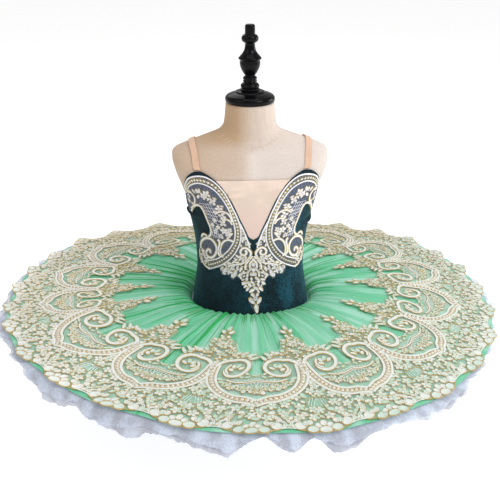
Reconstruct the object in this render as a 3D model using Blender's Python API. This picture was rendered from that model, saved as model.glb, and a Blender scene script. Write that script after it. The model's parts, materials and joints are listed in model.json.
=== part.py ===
"""A child's classical tutu dress, worn by a limbless dress form that stands on its flat bottom.

Metres, +Z up, the front facing -Y and the wearer's left at +X. The origin is the middle of the
form's bottom. A turn is an angle in degrees round the body: 0 at the centre front, 90 at the
wearer's left side seam and 180 at the centre back.
"""

import math

import bpy
import numpy as np
from mathutils import Vector
from mathutils.bvhtree import BVHTree
from mathutils.geometry import delaunay_2d_cdt

MM = 0.001

# Driving sizes of the dress, in metres
JOIN_HEIGHT = 190 * MM
PLATE_RADIUS = 434 * MM
LACE_REPEATS = 14
PLEATS_PER_REPEAT = 4
NET_WAVES = 28

# Cloth thicknesses and the clearances between pieces
SKIN_GAP = 1.3 * MM
SEAM_GAP = 0.3 * MM
VELVET = 1.8 * MM
INSERT_CLOTH = 1.2 * MM
ELASTIC = 1.2 * MM
PLATE_CLOTH = 1.4 * MM
NET_CLOTH = 1.2 * MM
LACE_CLOTH = 1.5 * MM
LACE_LIFT = 1.2 * MM
CUP_LACE_LIFT = 1.0 * MM

# The torso's sections, from the bottom to the neck, in millimetres
TORSO_COLUMNS = ("height", "half_width", "front_depth", "back_depth", "squareness")
TORSO_SECTIONS = (
    (0, 95.0, 82.0, 86.0, 2.3),
    (6, 99.0, 86.0, 90.0, 2.3),
    (90, 103.5, 88.5, 93.5, 2.3),
    (190, 99.3, 84.0, 86.0, 2.3),
    (221, 95.0, 79.5, 80.0, 2.3),
    (262, 90.2, 75.5, 76.5, 2.3),
    (300, 92.3, 77.0, 79.0, 2.3),
    (340, 98.5, 80.0, 82.5, 2.3),
    (372, 106.5, 82.0, 85.5, 2.4),
    (405, 116.0, 81.0, 86.0, 2.6),
    (426, 124.0, 77.0, 83.0, 2.8),
    (440, 128.5, 71.0, 78.0, 3.0),
    (452, 131.5, 62.5, 70.5, 3.0),
    (461, 131.8, 54.0, 62.5, 2.9),
    (467, 127.5, 49.0, 57.0, 2.7),
    (473, 115.5, 45.5, 52.5, 2.5),
    (479, 101.5, 43.5, 49.5, 2.3),
    (485, 86.0, 42.5, 47.5, 2.2),
    (491, 69.5, 42.0, 46.0, 2.1),
    (499, 52.0, 41.3, 44.0, 2.0),
    (511, 44.0, 40.8, 42.0, 2.0),
    (545, 40.4, 40.0, 40.0, 2.0),
)
TORSO_FACETS = 32

# Turned profiles of the wooden cap and finial, in millimetres
CAP_PROFILE = ("height", "radius"), (
    (545.3, 38.5),
    (546.5, 40.8),
    (549.5, 41.6),
    (553.5, 41.2),
    (557.0, 38.2),
    (559.0, 33.5),
    (560.0, 31.0),
    (561.5, 25.0),
    (563.5, 23.5),
    (564.5, 18.0),
)
FINIAL_PROFILE = ("height", "radius"), (
    (564.8, 15.7),
    (567.5, 15.9),
    (568.5, 14.6),
    (571.5, 15.8),
    (575.0, 14.4),
    (577.8, 11.0),
    (580.0, 11.8),
    (582.2, 10.8),
    (584.6, 11.8),
    (587.0, 10.6),
    (589.0, 8.4),
    (594.0, 11.8),
    (601.0, 15.2),
    (608.0, 16.9),
    (614.0, 16.9),
    (616.8, 19.2),
    (619.5, 17.6),
    (625.5, 12.4),
    (631.5, 9.4),
    (640.0, 8.1),
    (643.5, 9.6),
    (648.0, 13.9),
    (651.5, 13.9),
    (655.5, 9.6),
    (656.5, 8.4),
    (668.5, 8.2),
    (671.3, 6.6),
)
TURNED_FACETS = 16

# The velvet front's top edge: the plunge, the peak that the strap leaves, and the armhole
FRONT_EDGE_COLUMNS = ("turn", "height")
FRONT_EDGE = (
    (0.0, 330),
    (3.0, 335),
    (5.8, 350),
    (8.8, 367),
    (11.4, 386),
    (14.2, 405),
    (17.5, 422),
    (21.5, 434),
    (26.0, 441),
    (32.0, 445),
    (38.0, 443),
    (46.0, 436),
    (54.0, 426),
    (62.0, 413),
    (71.0, 392),
    (80.0, 370),
    (90.0, 352),
)
BACK_EDGE = (
    (90.0, 352),
    (105.0, 344),
    (125.0, 343),
    (142.0, 350),
    (152.0, 350),
    (168.0, 342),
    (180.0, 339),
)
FRONT_TURNS = (0, 3, 5.8, 8.8, 11.4, 14.2, 17.5, 21.5, 26, 32, 38, 46, 54, 62, 71, 80)
BODICE_LEVELS = (190, 223, 250, 275, 302)
BACK_STEPS = 18
INSERT_STEPS = 7
SIDE_SEAM_TURN = 90.0
SEAM_TURN = 0.09
INSERT_TOP = 432 * MM
INSERT_HALF_TURN = 20.0
INSERT_EDGE_GAP = 0.9 * MM
STAND_OFF = 1.4 * MM
STAND_OFF_FROM = 395 * MM
STAND_OFF_TO = 446 * MM
YOKE_DEPTH = 78 * MM

# The elastic strap's centre line, from the front peak over the shoulder to the back
STRAP_COLUMNS = ("lift_angle", "across")
STRAP_LINE = ((20, 88), (60, 94), (90, 98), (120, 95), (170, 80), (200, 76))
STRAP_WIDTH = 10 * MM
STRAP_GAP = 1.6 * MM
STRAP_CORE_HEIGHT = 400 * MM
STRAP_STEPS = 19

# The plate's rings: how much of the waist's oval is left, rise above the join, pleat half-depth
# and how far the pleats point up instead of out
PLATE_COLUMNS = ("radius", "oval", "rise", "pleat", "upright")
PLATE_RINGS = (
    (105.6, 1.00, 0.0, 1.3, 10),
    (111.0, 0.96, 8.0, 1.9, 45),
    (126.0, 0.75, 15.5, 2.6, 75),
    (172.0, 0.00, 19.0, 2.2, 90),
    (235.0, 0.00, 15.0, 1.2, 90),
    (335.0, 0.00, 3.0, 0.4, 90),
    (434.0, 0.00, -7.5, 0.5, 90),
)
# Slow waves of the plate's edge: how many round the skirt, depth and where the first one starts
WAVE_COLUMNS = ("count", "depth", "start")
PLATE_WAVES = ((14, 1.8, 0), (4, 3.0, 168), (3, 4.4, -17), (2, 9.0, -152), (1, 8.4, -79))
WAVES_START = 200 * MM

# The white net layers, from the top down: where each is sewn, its edge and its drop there
NET_COLUMNS = ("name", "seam_drop", "radius", "edge_gap", "ruffle", "start")
NET_LAYERS = (
    ("net_layer_upper", 8.0, 443.0, 10.0, 3.2, 0.0),
    ("net_layer_middle", 17.0, 438.0, 19.5, 3.6, 1.6),
    ("net_layer_lower", 26.0, 430.0, 29.0, 4.0, 3.2),
)
NET_RING_SHARES = (0.0, 0.22, 1.0)
NET_POINT = 6.0 * MM
NET_SEAM_GAP = 0.4 * MM

# The middle line of each lace repeat, sewn on by hand and so uneven: its turns at the lace's
# inner tip and at its edge
AXIS_COLUMNS = ("inner_turn", "outer_turn")
LACE_AXES = (
    (14.2, 10.5),
    (39.0, 39.5),
    (62.4, 68.0),
    (90.0, 92.5),
    (111.7, 114.0),
    (130.0, 136.5),
    (160.0, 161.0),
    (190.0, 189.0),
    (222.6, 218.0),
    (247.7, 242.0),
    (270.0, 263.0),
    (284.5, 284.5),
    (319.5, 313.0),
    (346.4, 342.0),
)
# Half of one lace repeat, in millimetres: across from the repeat's middle line, and radius
LACE_INNER_EDGE = (
    (0.0, 172.0),
    (8.0, 188.0),
    (6.0, 201.0),
    (20.0, 213.0),
    (22.0, 232.0),
    (37.0, 238.0),
    (36.0, 250.0),
    (51.0, 245.0),
    (45.0, 259.0),
    (53.5, 278.0),
    (55.0, 293.0),
    (61.0, 303.0),
)
LACE_NOTCH_RADIUS = 306.0
LACE_EDGE_RADIUS = 424.0
LACE_LOBE = 5.5
LACE_SCALLOP = 2.0
LACE_EDGE_STEPS = 8
LACE_SPACING = 54.0
# The openings of the lace, in millimetres and degrees, and the corners that each is cut with
GAP_COLUMNS = ("across", "along", "half_length", "half_width", "turned", "bend", "corners")
SKIRT_GAPS = (
    (31.0, 332.0, 39.0, 3.6, 46, -14.0, 9),
    (41.0, 284.0, 10.5, 5.5, 80, 0.0, 5),
    (71.5, 321.0, 15.0, 6.5, 0, 0.0, 6),
    (0.0, 368.0, 17.0, 9.0, 0, 0.0, 6),
    (12.5, 247.0, 8.0, 3.2, 95, 0.0, 4),
    (0.0, 307.0, 3.2, 9.0, 0, 0.0, 4),
)

# The bodice lace over one cup: turn in degrees and height in millimetres
CUP_OUTLINE = (
    (0.35, 301),
    (2.2, 315),
    (4.0, 332),
    (6.6, 350),
    (9.4, 368),
    (11.9, 385),
    (15.0, 402),
    (18.5, 416),
    (22.3, 426.5),
    (27.0, 433),
    (33.0, 435.5),
    (41.0, 433),
    (50.0, 427),
    (59.5, 416),
    (66.0, 404),
    (69.0, 392),
    (68.5, 378),
    (73.0, 364),
    (66.0, 362),
    (58.0, 367.5),
    (50.0, 370.5),
    (45.8, 362),
    (44.3, 351),
    (45.2, 341),
    (50.0, 332),
    (57.0, 326),
    (64.0, 312),
    (71.0, 305),
    (72.0, 290),
    (69.0, 275),
    (60.0, 267),
    (50.0, 264.5),
    (42.0, 268),
    (35.0, 272),
    (31.0, 263.5),
    (25.0, 268),
    (19.5, 259),
    (14.5, 264),
    (10.5, 258),
    (0.35, 263.5),
)
MM_PER_TURN = 1.75
CUP_LACE_SPACING = 15.0
CUP_GAPS = (
    (50.5, 411.0, 34.0, 5.2, 31, -21.5, 12),
    (64.5, 375.0, 15.5, 6.0, 82, 2.0, 8),
    (30.4, 351.0, 7.0, 3.2, 85, 0.0, 5),
    (60.0, 341.0, 7.5, 4.0, 80, 0.0, 5),
    (86.0, 307.0, 11.5, 7.5, 15, 0.0, 6),
    (42.0, 311.0, 11.5, 5.0, -43, 0.0, 6),
)
# Half of the drop below the plunge, in millimetres: across and height
DROP_OUTLINE = (
    (0.0, 262.9),
    (8.0, 260.2),
    (15.5, 257.4),
    (16.5, 250),
    (11.5, 241),
    (7.0, 235),
    (5.0, 228),
    (4.2, 222),
    (7.5, 217),
    (4.8, 209),
    (2.8, 201),
    (0.0, 196.5),
)
DROP_LEAN = 3.0

FINISHES = {
    "velvet": ((0.012, 0.055, 0.055), 0.85, 0.0),
    "green_tulle": ((0.16, 0.62, 0.33), 0.7, 0.0),
    "white_net": ((0.74, 0.78, 0.86), 0.75, 0.0),
    "gold_lace": ((0.72, 0.62, 0.42), 0.45, 0.3),
    "nude_elastic": ((0.86, 0.62, 0.47), 0.6, 0.0),
    "form_cotton": ((0.84, 0.75, 0.66), 0.8, 0.0),
    "black_lacquer": ((0.01, 0.01, 0.011), 0.15, 0.0),
}


def clear_scene():
    """Removes whatever the file holds, so that only the dress is left."""
    for old in list(bpy.data.objects):
        bpy.data.objects.remove(old)


def material(finish):
    """The named finish as a Principled material, made once."""
    found = bpy.data.materials.get(finish)
    if found:
        return found
    colour, roughness, metallic = FINISHES[finish]
    made = bpy.data.materials.new(finish)
    made.use_nodes = True
    shader = made.node_tree.nodes["Principled BSDF"]
    shader.inputs["Base Color"].default_value = (*colour, 1.0)
    shader.inputs["Roughness"].default_value = roughness
    shader.inputs["Metallic"].default_value = metallic
    return made


def add_piece(name, points, faces, finish, flat=False):
    """Makes one named object of the dress from its points and faces."""
    mesh = bpy.data.meshes.new(name)
    mesh.from_pydata([tuple(p) for p in points], [], [tuple(f) for f in faces])
    mesh.validate()
    mesh.materials.append(material(finish))
    if not flat:
        mesh.shade_smooth()
        mesh.set_sharp_from_angle(angle=math.radians(50))
    piece = bpy.data.objects.new(name, mesh)
    bpy.context.scene.collection.objects.link(piece)
    return piece


def smooth_rows(at, rows):
    """Values between the rows of a table, with no overshoot: the first column drives the rest."""
    table = np.array(rows, float)
    xs, ys = table[:, 0], table[:, 1:]
    steps = np.diff(xs)[:, None]
    slopes = np.diff(ys, axis=0) / steps
    tangents = np.zeros_like(ys)
    tangents[0], tangents[-1] = slopes[0], slopes[-1]
    same = slopes[:-1] * slopes[1:] > 0
    total = np.where(same, slopes[:-1] + slopes[1:], 1.0)
    tangents[1:-1] = np.where(same, 2 * slopes[:-1] * slopes[1:] / total, 0.0)
    at = min(max(at, xs[0]), xs[-1])
    i = min(int(np.searchsorted(xs, at, side="right")) - 1, len(xs) - 2)
    s = (at - xs[i]) / steps[i, 0]
    ends = (2 * s**3 - 3 * s**2 + 1) * ys[i] + (3 * s**2 - 2 * s**3) * ys[i + 1]
    pulls = (s**3 - 2 * s**2 + s) * tangents[i] + (s**3 - s**2) * tangents[i + 1]
    return ends + steps[i, 0] * pulls


def torso_point(turn, height, out=0.0):
    """A point on the torso's surface at a turn and height, moved outwards by a distance."""
    half_width, front, back, power = smooth_rows(height / MM, TORSO_SECTIONS)
    angle = math.radians(turn)
    across, ahead = math.sin(angle), math.cos(angle)
    depth = front if ahead >= 0 else back
    x = half_width * MM * math.copysign(abs(across) ** (2 / power), across)
    y = -depth * MM * math.copysign(abs(ahead) ** (2 / power), ahead)
    nx = math.copysign(abs(x / (half_width * MM)) ** (power - 1), x) / half_width
    ny = math.copysign(abs(y / (depth * MM)) ** (power - 1), y) / depth
    long = math.hypot(nx, ny)
    return Vector((x + out * nx / long, y + out * ny / long, height))


def torso_radius(turn, height, out):
    """Where a level ray at this direction from the axis leaves the torso, moved outwards."""
    point = torso_point(turn, height, out)
    for _ in range(4):
        wrong = turn - math.degrees(math.atan2(point.x, -point.y))
        wrong = (wrong + 180) % 360 - 180
        turn_used = wrong + math.degrees(math.atan2(point.x, -point.y))
        point = torso_point(turn_used + wrong * 0.5, height, out)
    return math.hypot(point.x, point.y)


def rings_solid(name, rings, finish):
    """A closed solid through rings of points, with a flat fan on its first and last ring."""
    count = len(rings[0])
    points = [p for ring in rings for p in ring]
    faces = []
    for i in range(len(rings) - 1):
        for j in range(count):
            k = (j + 1) % count
            faces.append((i * count + j, i * count + k, (i + 1) * count + k, (i + 1) * count + j))
    faces.append(tuple(reversed(range(count))))
    faces.append(tuple((len(rings) - 1) * count + j for j in range(count)))
    return add_piece(name, points, faces, finish)


def torso():
    """The limbless form: hips, waist, chest, capped shoulders and neck in one smooth solid."""
    turns = [360 * i / TORSO_FACETS for i in range(TORSO_FACETS)]
    rings = [[torso_point(t, row[0] * MM) for t in turns] for row in TORSO_SECTIONS]
    return rings_solid("form_torso", rings, "form_cotton")


def turned(name, profile, finish):
    """A solid turned on the lathe about the form's axis, from its profile's rows."""
    rings = []
    for height, radius in profile[1]:
        ring = []
        for i in range(TURNED_FACETS):
            angle = 2 * math.pi * i / TURNED_FACETS
            x, y = math.sin(angle) * radius * MM, -math.cos(angle) * radius * MM
            ring.append(Vector((x, y, height * MM)))
        rings.append(ring)
    return rings_solid(name, rings, finish)


def cloth_wall(name, inside, outside, finish, closed=False):
    """A wall of cloth between two matching grids of points, closed into a tube or open."""
    rows, columns = len(inside), len(inside[0])
    points = [p for row in inside for p in row] + [p for row in outside for p in row]
    other = rows * columns
    faces = []
    for i in range(rows - 1):
        for j in range(columns if closed else columns - 1):
            k = (j + 1) % columns
            a, b, c, d = i * columns + j, i * columns + k, (i + 1) * columns + k, (i + 1) * columns + j
            faces.append((d, c, b, a))
            faces.append((other + a, other + b, other + c, other + d))
    top = (rows - 1) * columns
    for j in range(columns if closed else columns - 1):
        k = (j + 1) % columns
        faces.append((j, k, other + k, other + j))
        faces.append((top + k, top + j, other + top + j, other + top + k))
    if not closed:
        for i in range(rows - 1):
            a, d = i * columns, (i + 1) * columns
            faces.append((d, a, other + a, other + d))
            b, c = a + columns - 1, d + columns - 1
            faces.append((b, c, other + c, other + b))
    return add_piece(name, points, faces, finish)


def panel(name, turns, levels, top, shares, thick, finish):
    """A shaped panel on the torso: a column at each turn, with rows at the levels and then on up.

    The levels are heights, or one function of the turn, and the shares divide the rest of the
    way from the last level to the panel's top edge.
    """
    grids = []
    for extra in (0.0, thick):
        columns = []
        for turn in turns:
            heights = list(levels(turn)) if callable(levels) else [level * MM for level in levels]
            last = heights[-1]
            heights += [last + share * (top(turn) - last) for share in shares]
            columns.append([torso_point(turn, h, SKIN_GAP + stand_off(h) + extra) for h in heights])
        grids.append([list(row) for row in zip(*columns)])
    return cloth_wall(name, grids[0], grids[1], finish)


def stand_off(height):
    """How far the stiff top of the bodice stands off the chest at a height."""
    share = min(1.0, max(0.0, (height - STAND_OFF_FROM) / (STAND_OFF_TO - STAND_OFF_FROM)))
    return STAND_OFF * share * share


def front_top(turn):
    """Height of the velvet front's top edge at a turn."""
    return smooth_rows(abs(turn), FRONT_EDGE)[0] * MM


def back_top(turn):
    """Height of the velvet back's top edge at a turn from 90 to 270."""
    return smooth_rows(turn if turn <= 180 else 360 - turn, BACK_EDGE)[0] * MM


def bodice():
    """The velvet front and back, the nude neck insert and the hip yoke that carries the nets."""
    half = [*FRONT_TURNS, SIDE_SEAM_TURN - SEAM_TURN]
    turns = [-t for t in reversed(half[1:])] + half
    panel("bodice_front", turns, BODICE_LEVELS, front_top, (0.34, 0.62, 0.84, 1), VELVET, "velvet")
    first = SIDE_SEAM_TURN + SEAM_TURN
    turns = [first + (360 - 2 * first) * i / BACK_STEPS for i in range(BACK_STEPS + 1)]
    panel("bodice_back", turns, BODICE_LEVELS, back_top, (0.5, 1), VELVET, "velvet")
    half = [*FRONT_TURNS[:INSERT_STEPS], INSERT_HALF_TURN]
    turns = [-t for t in reversed(half[1:])] + half

    def insert_bottom(turn):
        return (front_top(turn) + INSERT_EDGE_GAP,)

    def insert_top(_turn):
        return INSERT_TOP

    shares = (0.3, 0.55, 0.78, 1)
    panel("neck_insert", turns, insert_bottom, insert_top, shares, INSERT_CLOTH, "nude_elastic")
    hip_yoke()


def hip_yoke():
    """The velvet tube below the join, sewn to the bodice, that the net layers hang from."""
    top = JOIN_HEIGHT - SEAM_GAP
    heights = (top - YOKE_DEPTH, top - 0.5 * YOKE_DEPTH, top)
    turns = [360 * i / TORSO_FACETS for i in range(TORSO_FACETS)]
    grids = [[[torso_point(t, h, out) for t in turns] for h in heights] for out in (SKIN_GAP, SKIN_GAP + VELVET)]
    return cloth_wall("hip_yoke", grids[0], grids[1], "velvet", closed=True)


def straps(form):
    """Both elastic straps, laid on the shoulders from the front peaks to the back's top edge."""
    form.data.calc_loop_triangles()
    triangles = [tuple(t.vertices) for t in form.data.loop_triangles]
    tree = BVHTree.FromPolygons([v.co for v in form.data.vertices], triangles)
    for side, name in ((-1, "strap_right"), (1, "strap_left")):
        strap(name, side, tree)


def strap_row(side, lift, tree, height=None):
    """The two skin points under a strap at a lift angle, or level at a height on the back."""
    across = smooth_rows(lift, STRAP_LINE)[0] * MM
    angle = math.radians(lift)
    row = []
    for edge in (-1, 1):
        x = side * across + edge * STRAP_WIDTH / 2
        if height is None:
            outward = Vector((0, -math.cos(angle), math.sin(angle)))
            start = Vector((x, 0, STRAP_CORE_HEIGHT)) + outward
        else:
            outward = Vector((0, -1 if lift < 90 else 1, 0))
            start = Vector((x, 0, height)) + outward
        row.append(tree.ray_cast(start, -outward)[0])
    return row


def strap(name, side, tree):
    """One strap: skin points in rows of two, moved out by the gap and then by the elastic."""
    start_height = front_top(32) + 2.2 * SEAM_GAP
    end_height = back_top(147) + 2.2 * SEAM_GAP
    rows = [strap_row(side, 25, tree, start_height)]
    for i in range(STRAP_STEPS):
        rows.append(strap_row(side, 42 + (168 - 42) * i / (STRAP_STEPS - 1), tree))
    rows.append(strap_row(side, 185, tree, (end_height + rows[-1][0].z) / 2))
    rows.append(strap_row(side, 196, tree, end_height))
    inside, outside = [], []
    for i, (a, b) in enumerate(rows):
        before, after = rows[max(i - 1, 0)], rows[min(i + 1, len(rows) - 1)]
        along = (after[0] + after[1] - before[0] - before[1]).normalized()
        out = (b - a).normalized().cross(along).normalized()
        inside.append([a + out * STRAP_GAP, b + out * STRAP_GAP])
        outside.append([a + out * (STRAP_GAP + ELASTIC), b + out * (STRAP_GAP + ELASTIC)])
    return cloth_wall(name, inside, outside, "nude_elastic")


def slow_wave(turn, radius):
    """How far the plate's slow waves lift it here: none near the waist, all of it at the edge."""
    share = min(1.0, max(0.0, (radius - WAVES_START) / (PLATE_RADIUS - WAVES_START)))
    lift = sum(depth * math.cos(math.radians(count * turn - start)) for count, depth, start in PLATE_WAVES)
    return lift * MM * share**1.4


def plate_radius(turn, ring_radius, oval):
    """A ring's radius at a turn: the waist's oval near the join, a circle further out."""
    join = torso_radius(turn, JOIN_HEIGHT, 0.0)
    mean = torso_radius(45.0, JOIN_HEIGHT, 0.0)
    return ring_radius * MM + oval * (join - mean)


def plate_rows():
    """The plate's rings with the waist ring moved just clear of the velvet."""
    mean = torso_radius(45.0, JOIN_HEIGHT, 0.0)
    clear = SKIN_GAP + VELVET + SEAM_GAP + PLATE_CLOTH / 2
    first = (mean + clear) / MM + PLATE_RINGS[0][3]
    shift = first - PLATE_RINGS[0][0]
    return [(r + shift * oval, oval, rise, pleat, up) for r, oval, rise, pleat, up in PLATE_RINGS]


def plate():
    """The green tulle plate, gathered at the join into pleats that fade under the lace."""
    rows = plate_rows()
    columns = 2 * PLEATS_PER_REPEAT * LACE_REPEATS
    under, over = [], []
    for i, (radius, oval, rise, pleat, upright) in enumerate(rows):
        before, after = rows[max(i - 1, 0)], rows[min(i + 1, len(rows) - 1)]
        slope = math.atan2(after[2] - before[2], after[0] - before[0])
        lean, stand = -math.sin(slope), math.cos(slope)
        low, high = [], []
        for j in range(columns):
            turn = 360 * j / columns
            side = (1 if j % 2 == 0 else -1) * pleat * MM
            r = plate_radius(turn, radius, oval) + side * math.cos(math.radians(upright))
            z = JOIN_HEIGHT + rise * MM + slow_wave(turn, r) + side * math.sin(math.radians(upright))
            for grid, half in ((low, -PLATE_CLOTH / 2), (high, PLATE_CLOTH / 2)):
                grid.append(ring_point(turn, r + half * lean, z + half * stand))
        under.append(low)
        over.append(high)
    return cloth_wall("skirt_plate", over, under, "green_tulle", closed=True)


def ring_point(turn, radius, height):
    """A point at a turn, radius and height."""
    angle = math.radians(turn)
    return Vector((radius * math.sin(angle), -radius * math.cos(angle), height))


def plate_rise(radius):
    """The plate's mean height above the join at a radius, in metres."""
    return smooth_rows(radius / MM, [(row[0], row[2], row[3]) for row in PLATE_RINGS])[0] * MM


def plate_crest(turn, radius):
    """Height of the plate's pleat crests at a turn and radius."""
    rise, pleat = smooth_rows(radius / MM, [(row[0], row[2], row[3]) for row in PLATE_RINGS])
    return JOIN_HEIGHT + (rise + pleat) * MM + PLATE_CLOTH / 2 + slow_wave(turn, radius)


def net_layer(name, seam_drop, radius, edge_gap, ruffle, start):
    """One white net layer: sewn to the yoke, ruffled, with a pointed edge below the plate's."""
    columns = 2 * NET_WAVES
    edge = radius * MM
    under, over = [], []
    for share in NET_RING_SHARES:
        low, high = [], []
        for j in range(columns):
            turn = 360 * (j + 0.5) / columns + start
            swing = 1 if j % 2 == 0 else -1
            uneven = 1 + 0.3 * math.sin(2.4 * j + start)
            seam = torso_radius(turn, JOIN_HEIGHT - seam_drop * MM, SKIN_GAP + VELVET + SEAM_GAP)
            seam += NET_SEAM_GAP
            reach = edge + NET_POINT * swing * uneven * share
            r = seam + (reach - seam) * share
            gap = seam_drop + (edge_gap - seam_drop) * share
            along = max(r, PLATE_RINGS[2][0] * MM)
            rise = plate_rise(along) * min(1.0, share / NET_RING_SHARES[1])
            z = JOIN_HEIGHT + rise + slow_wave(turn, r) - gap * MM
            z += swing * uneven * ruffle * MM * share
            low.append(ring_point(turn, r, z - NET_CLOTH / 2))
            high.append(ring_point(turn, r, z + NET_CLOTH / 2))
        under.append(low)
        over.append(high)
    return cloth_wall(name, over, under, "white_net", closed=True)


def bent_oval(across, along, half_length, half_width, turned_by, bend, corners):
    """An opening's outline: an oval, bent sideways towards its ends and turned."""
    angle = math.radians(turned_by)
    outline = []
    for i in range(corners):
        t = 2 * math.pi * (i + 0.5) / corners
        x = half_length * math.cos(t)
        y = half_width * math.sin(t) + bend * math.cos(t) ** 2
        outline.append((across + x * math.cos(angle) - y * math.sin(angle),
                        along + x * math.sin(angle) + y * math.cos(angle)))
    return outline


def inside(outline, x, y):
    """Whether a point lies inside an outline."""
    found = False
    for (ax, ay), (bx, by) in zip(outline, outline[1:] + outline[:1]):
        if (ay > y) != (by > y) and x < ax + (y - ay) * (bx - ax) / (by - ay):
            found = not found
    return found


def clear_of(outlines, x, y, margin):
    """Whether a point keeps a margin from every edge of the outlines."""
    for outline in outlines:
        for (ax, ay), (bx, by) in zip(outline, outline[1:] + outline[:1]):
            dx, dy = bx - ax, by - ay
            share = min(1.0, max(0.0, ((x - ax) * dx + (y - ay) * dy) / (dx * dx + dy * dy)))
            if math.hypot(x - ax - share * dx, y - ay - share * dy) < margin:
                return False
    return True


def split_long(outline, longest):
    """The outline with its long edges divided evenly."""
    points = []
    for (ax, ay), (bx, by) in zip(outline, outline[1:] + outline[:1]):
        parts = max(1, math.ceil(math.hypot(bx - ax, by - ay) / longest))
        points += [(ax + (bx - ax) * i / parts, ay + (by - ay) * i / parts) for i in range(parts)]
    return points


def cut_sheet(outline, gaps, spacing):
    """A flat sheet with openings, in triangles about as large as the spacing: points and corners."""
    loops = [outline, *gaps]
    rings = [split_long(outline, 1.2 * spacing), *gaps]
    points, edges = [], []
    for ring in rings:
        first = len(points)
        points += [Vector(p) for p in ring]
        edges += [(first + i, first + (i + 1) % len(ring)) for i in range(len(ring))]
    left, right = min(x for x, _ in outline), max(x for x, _ in outline)
    low, high = min(y for _, y in outline), max(y for _, y in outline)
    for row in range(int((high - low) / spacing)):
        for column in range(int((right - left) / spacing) + 1):
            x = left + spacing * (column + 0.5 * (row % 2))
            y = low + spacing * (row + 0.5)
            if inside(outline, x, y) and clear_of(loops, x, y, 0.4 * spacing):
                if not any(inside(gap, x, y) for gap in gaps):
                    points.append(Vector((x, y)))
    made, _, faces = delaunay_2d_cdt(points, edges, [], 0, 1e-4)[:3]
    kept = []
    for face in faces:
        x = sum(made[i].x for i in face) / 3
        y = sum(made[i].y for i in face) / 3
        if inside(outline, x, y) and not any(inside(gap, x, y) for gap in gaps):
            a, b, c = (made[i] for i in face)
            turns_left = (b.x - a.x) * (c.y - a.y) - (b.y - a.y) * (c.x - a.x) > 0
            kept.append(tuple(face) if turns_left else tuple(reversed(face)))
    return [(p.x, p.y) for p in made], kept


def sheet_wall(name, flat, faces, lower, upper, finish):
    """A wall on a flat sheet's triangles, between a lower and an upper point for each corner."""
    used = sorted({i for face in faces for i in face})
    index = {old: new for new, old in enumerate(used)}
    count = len(used)
    points = [lower(flat[i]) for i in used] + [upper(flat[i]) for i in used]
    walls, sides = [], {}
    for face in faces:
        a, b, c = (index[i] for i in face)
        walls.append((c, b, a))
        walls.append((a + count, b + count, c + count))
        for edge in ((a, b), (b, c), (c, a)):
            sides[edge] = sides.get(edge, 0) + 1
    for a, b in sides:
        if (b, a) not in sides:
            walls.append((a, b, b + count, a + count))
    return add_piece(name, points, walls, finish, flat=True)


def lace_edge(share):
    """Radius of the lace's scalloped edge, at a share of the way from mid-repeat to its side."""
    lobe = LACE_LOBE * math.cos(2 * math.pi * share)
    scallop = LACE_SCALLOP * math.cos(math.pi * LACE_EDGE_STEPS * share)
    return LACE_EDGE_RADIUS + lobe + scallop


def axis_turns(repeat, radius):
    """The turns of a repeat's middle line and of its neighbours' at a radius in millimetres."""
    share = (radius - LACE_INNER_EDGE[0][1]) / (LACE_EDGE_RADIUS - LACE_INNER_EDGE[0][1])
    turns = []
    for step in (-1, 0, 1):
        laps, i = divmod(repeat + step, LACE_REPEATS)
        inner, outer = LACE_AXES[i]
        turns.append(inner + (outer - inner) * share + 360 * laps)
    return turns


def lace_border():
    """The wide lace on the plate: mirrored halves of one pattern, fitted round the skirt."""
    half_angle = math.pi / LACE_REPEATS
    outline = list(LACE_INNER_EDGE)
    outline.append((LACE_NOTCH_RADIUS * half_angle, LACE_NOTCH_RADIUS))
    for i in range(LACE_EDGE_STEPS + 1):
        share = 1 - i / LACE_EDGE_STEPS
        radius = lace_edge(share)
        outline.append((share * half_angle * radius, radius))
    flat, faces = cut_sheet(outline, [bent_oval(*gap) for gap in SKIRT_GAPS], LACE_SPACING)
    corners, index, whole = [], {}, []
    for repeat in range(LACE_REPEATS):
        for mirror in (1, -1):
            for face in faces:
                placed = []
                for i in face:
                    across, radius = flat[i]
                    share = across / (half_angle * radius)
                    before, middle, after = axis_turns(repeat, radius)
                    near = after if mirror > 0 else before
                    turn = middle + 0.5 * share * (near - middle)
                    key = (round(turn % 360, 3) % 360, round(radius, 2))
                    if key not in index:
                        index[key] = len(corners)
                        corners.append((turn, radius * MM))
                    placed.append(index[key])
                # Turns run left to right seen from above the front, so a face is turned over.
                whole.append(tuple(reversed(placed)) if mirror > 0 else tuple(placed))

    def lifted(corner, out):
        turn, radius = corner
        return ring_point(turn, radius, plate_crest(turn, radius) + LACE_LIFT + out)

    def upper(corner):
        return lifted(corner, LACE_CLOTH)

    return sheet_wall("skirt_lace", corners, whole, lambda c: lifted(c, 0), upper, "gold_lace")


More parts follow.
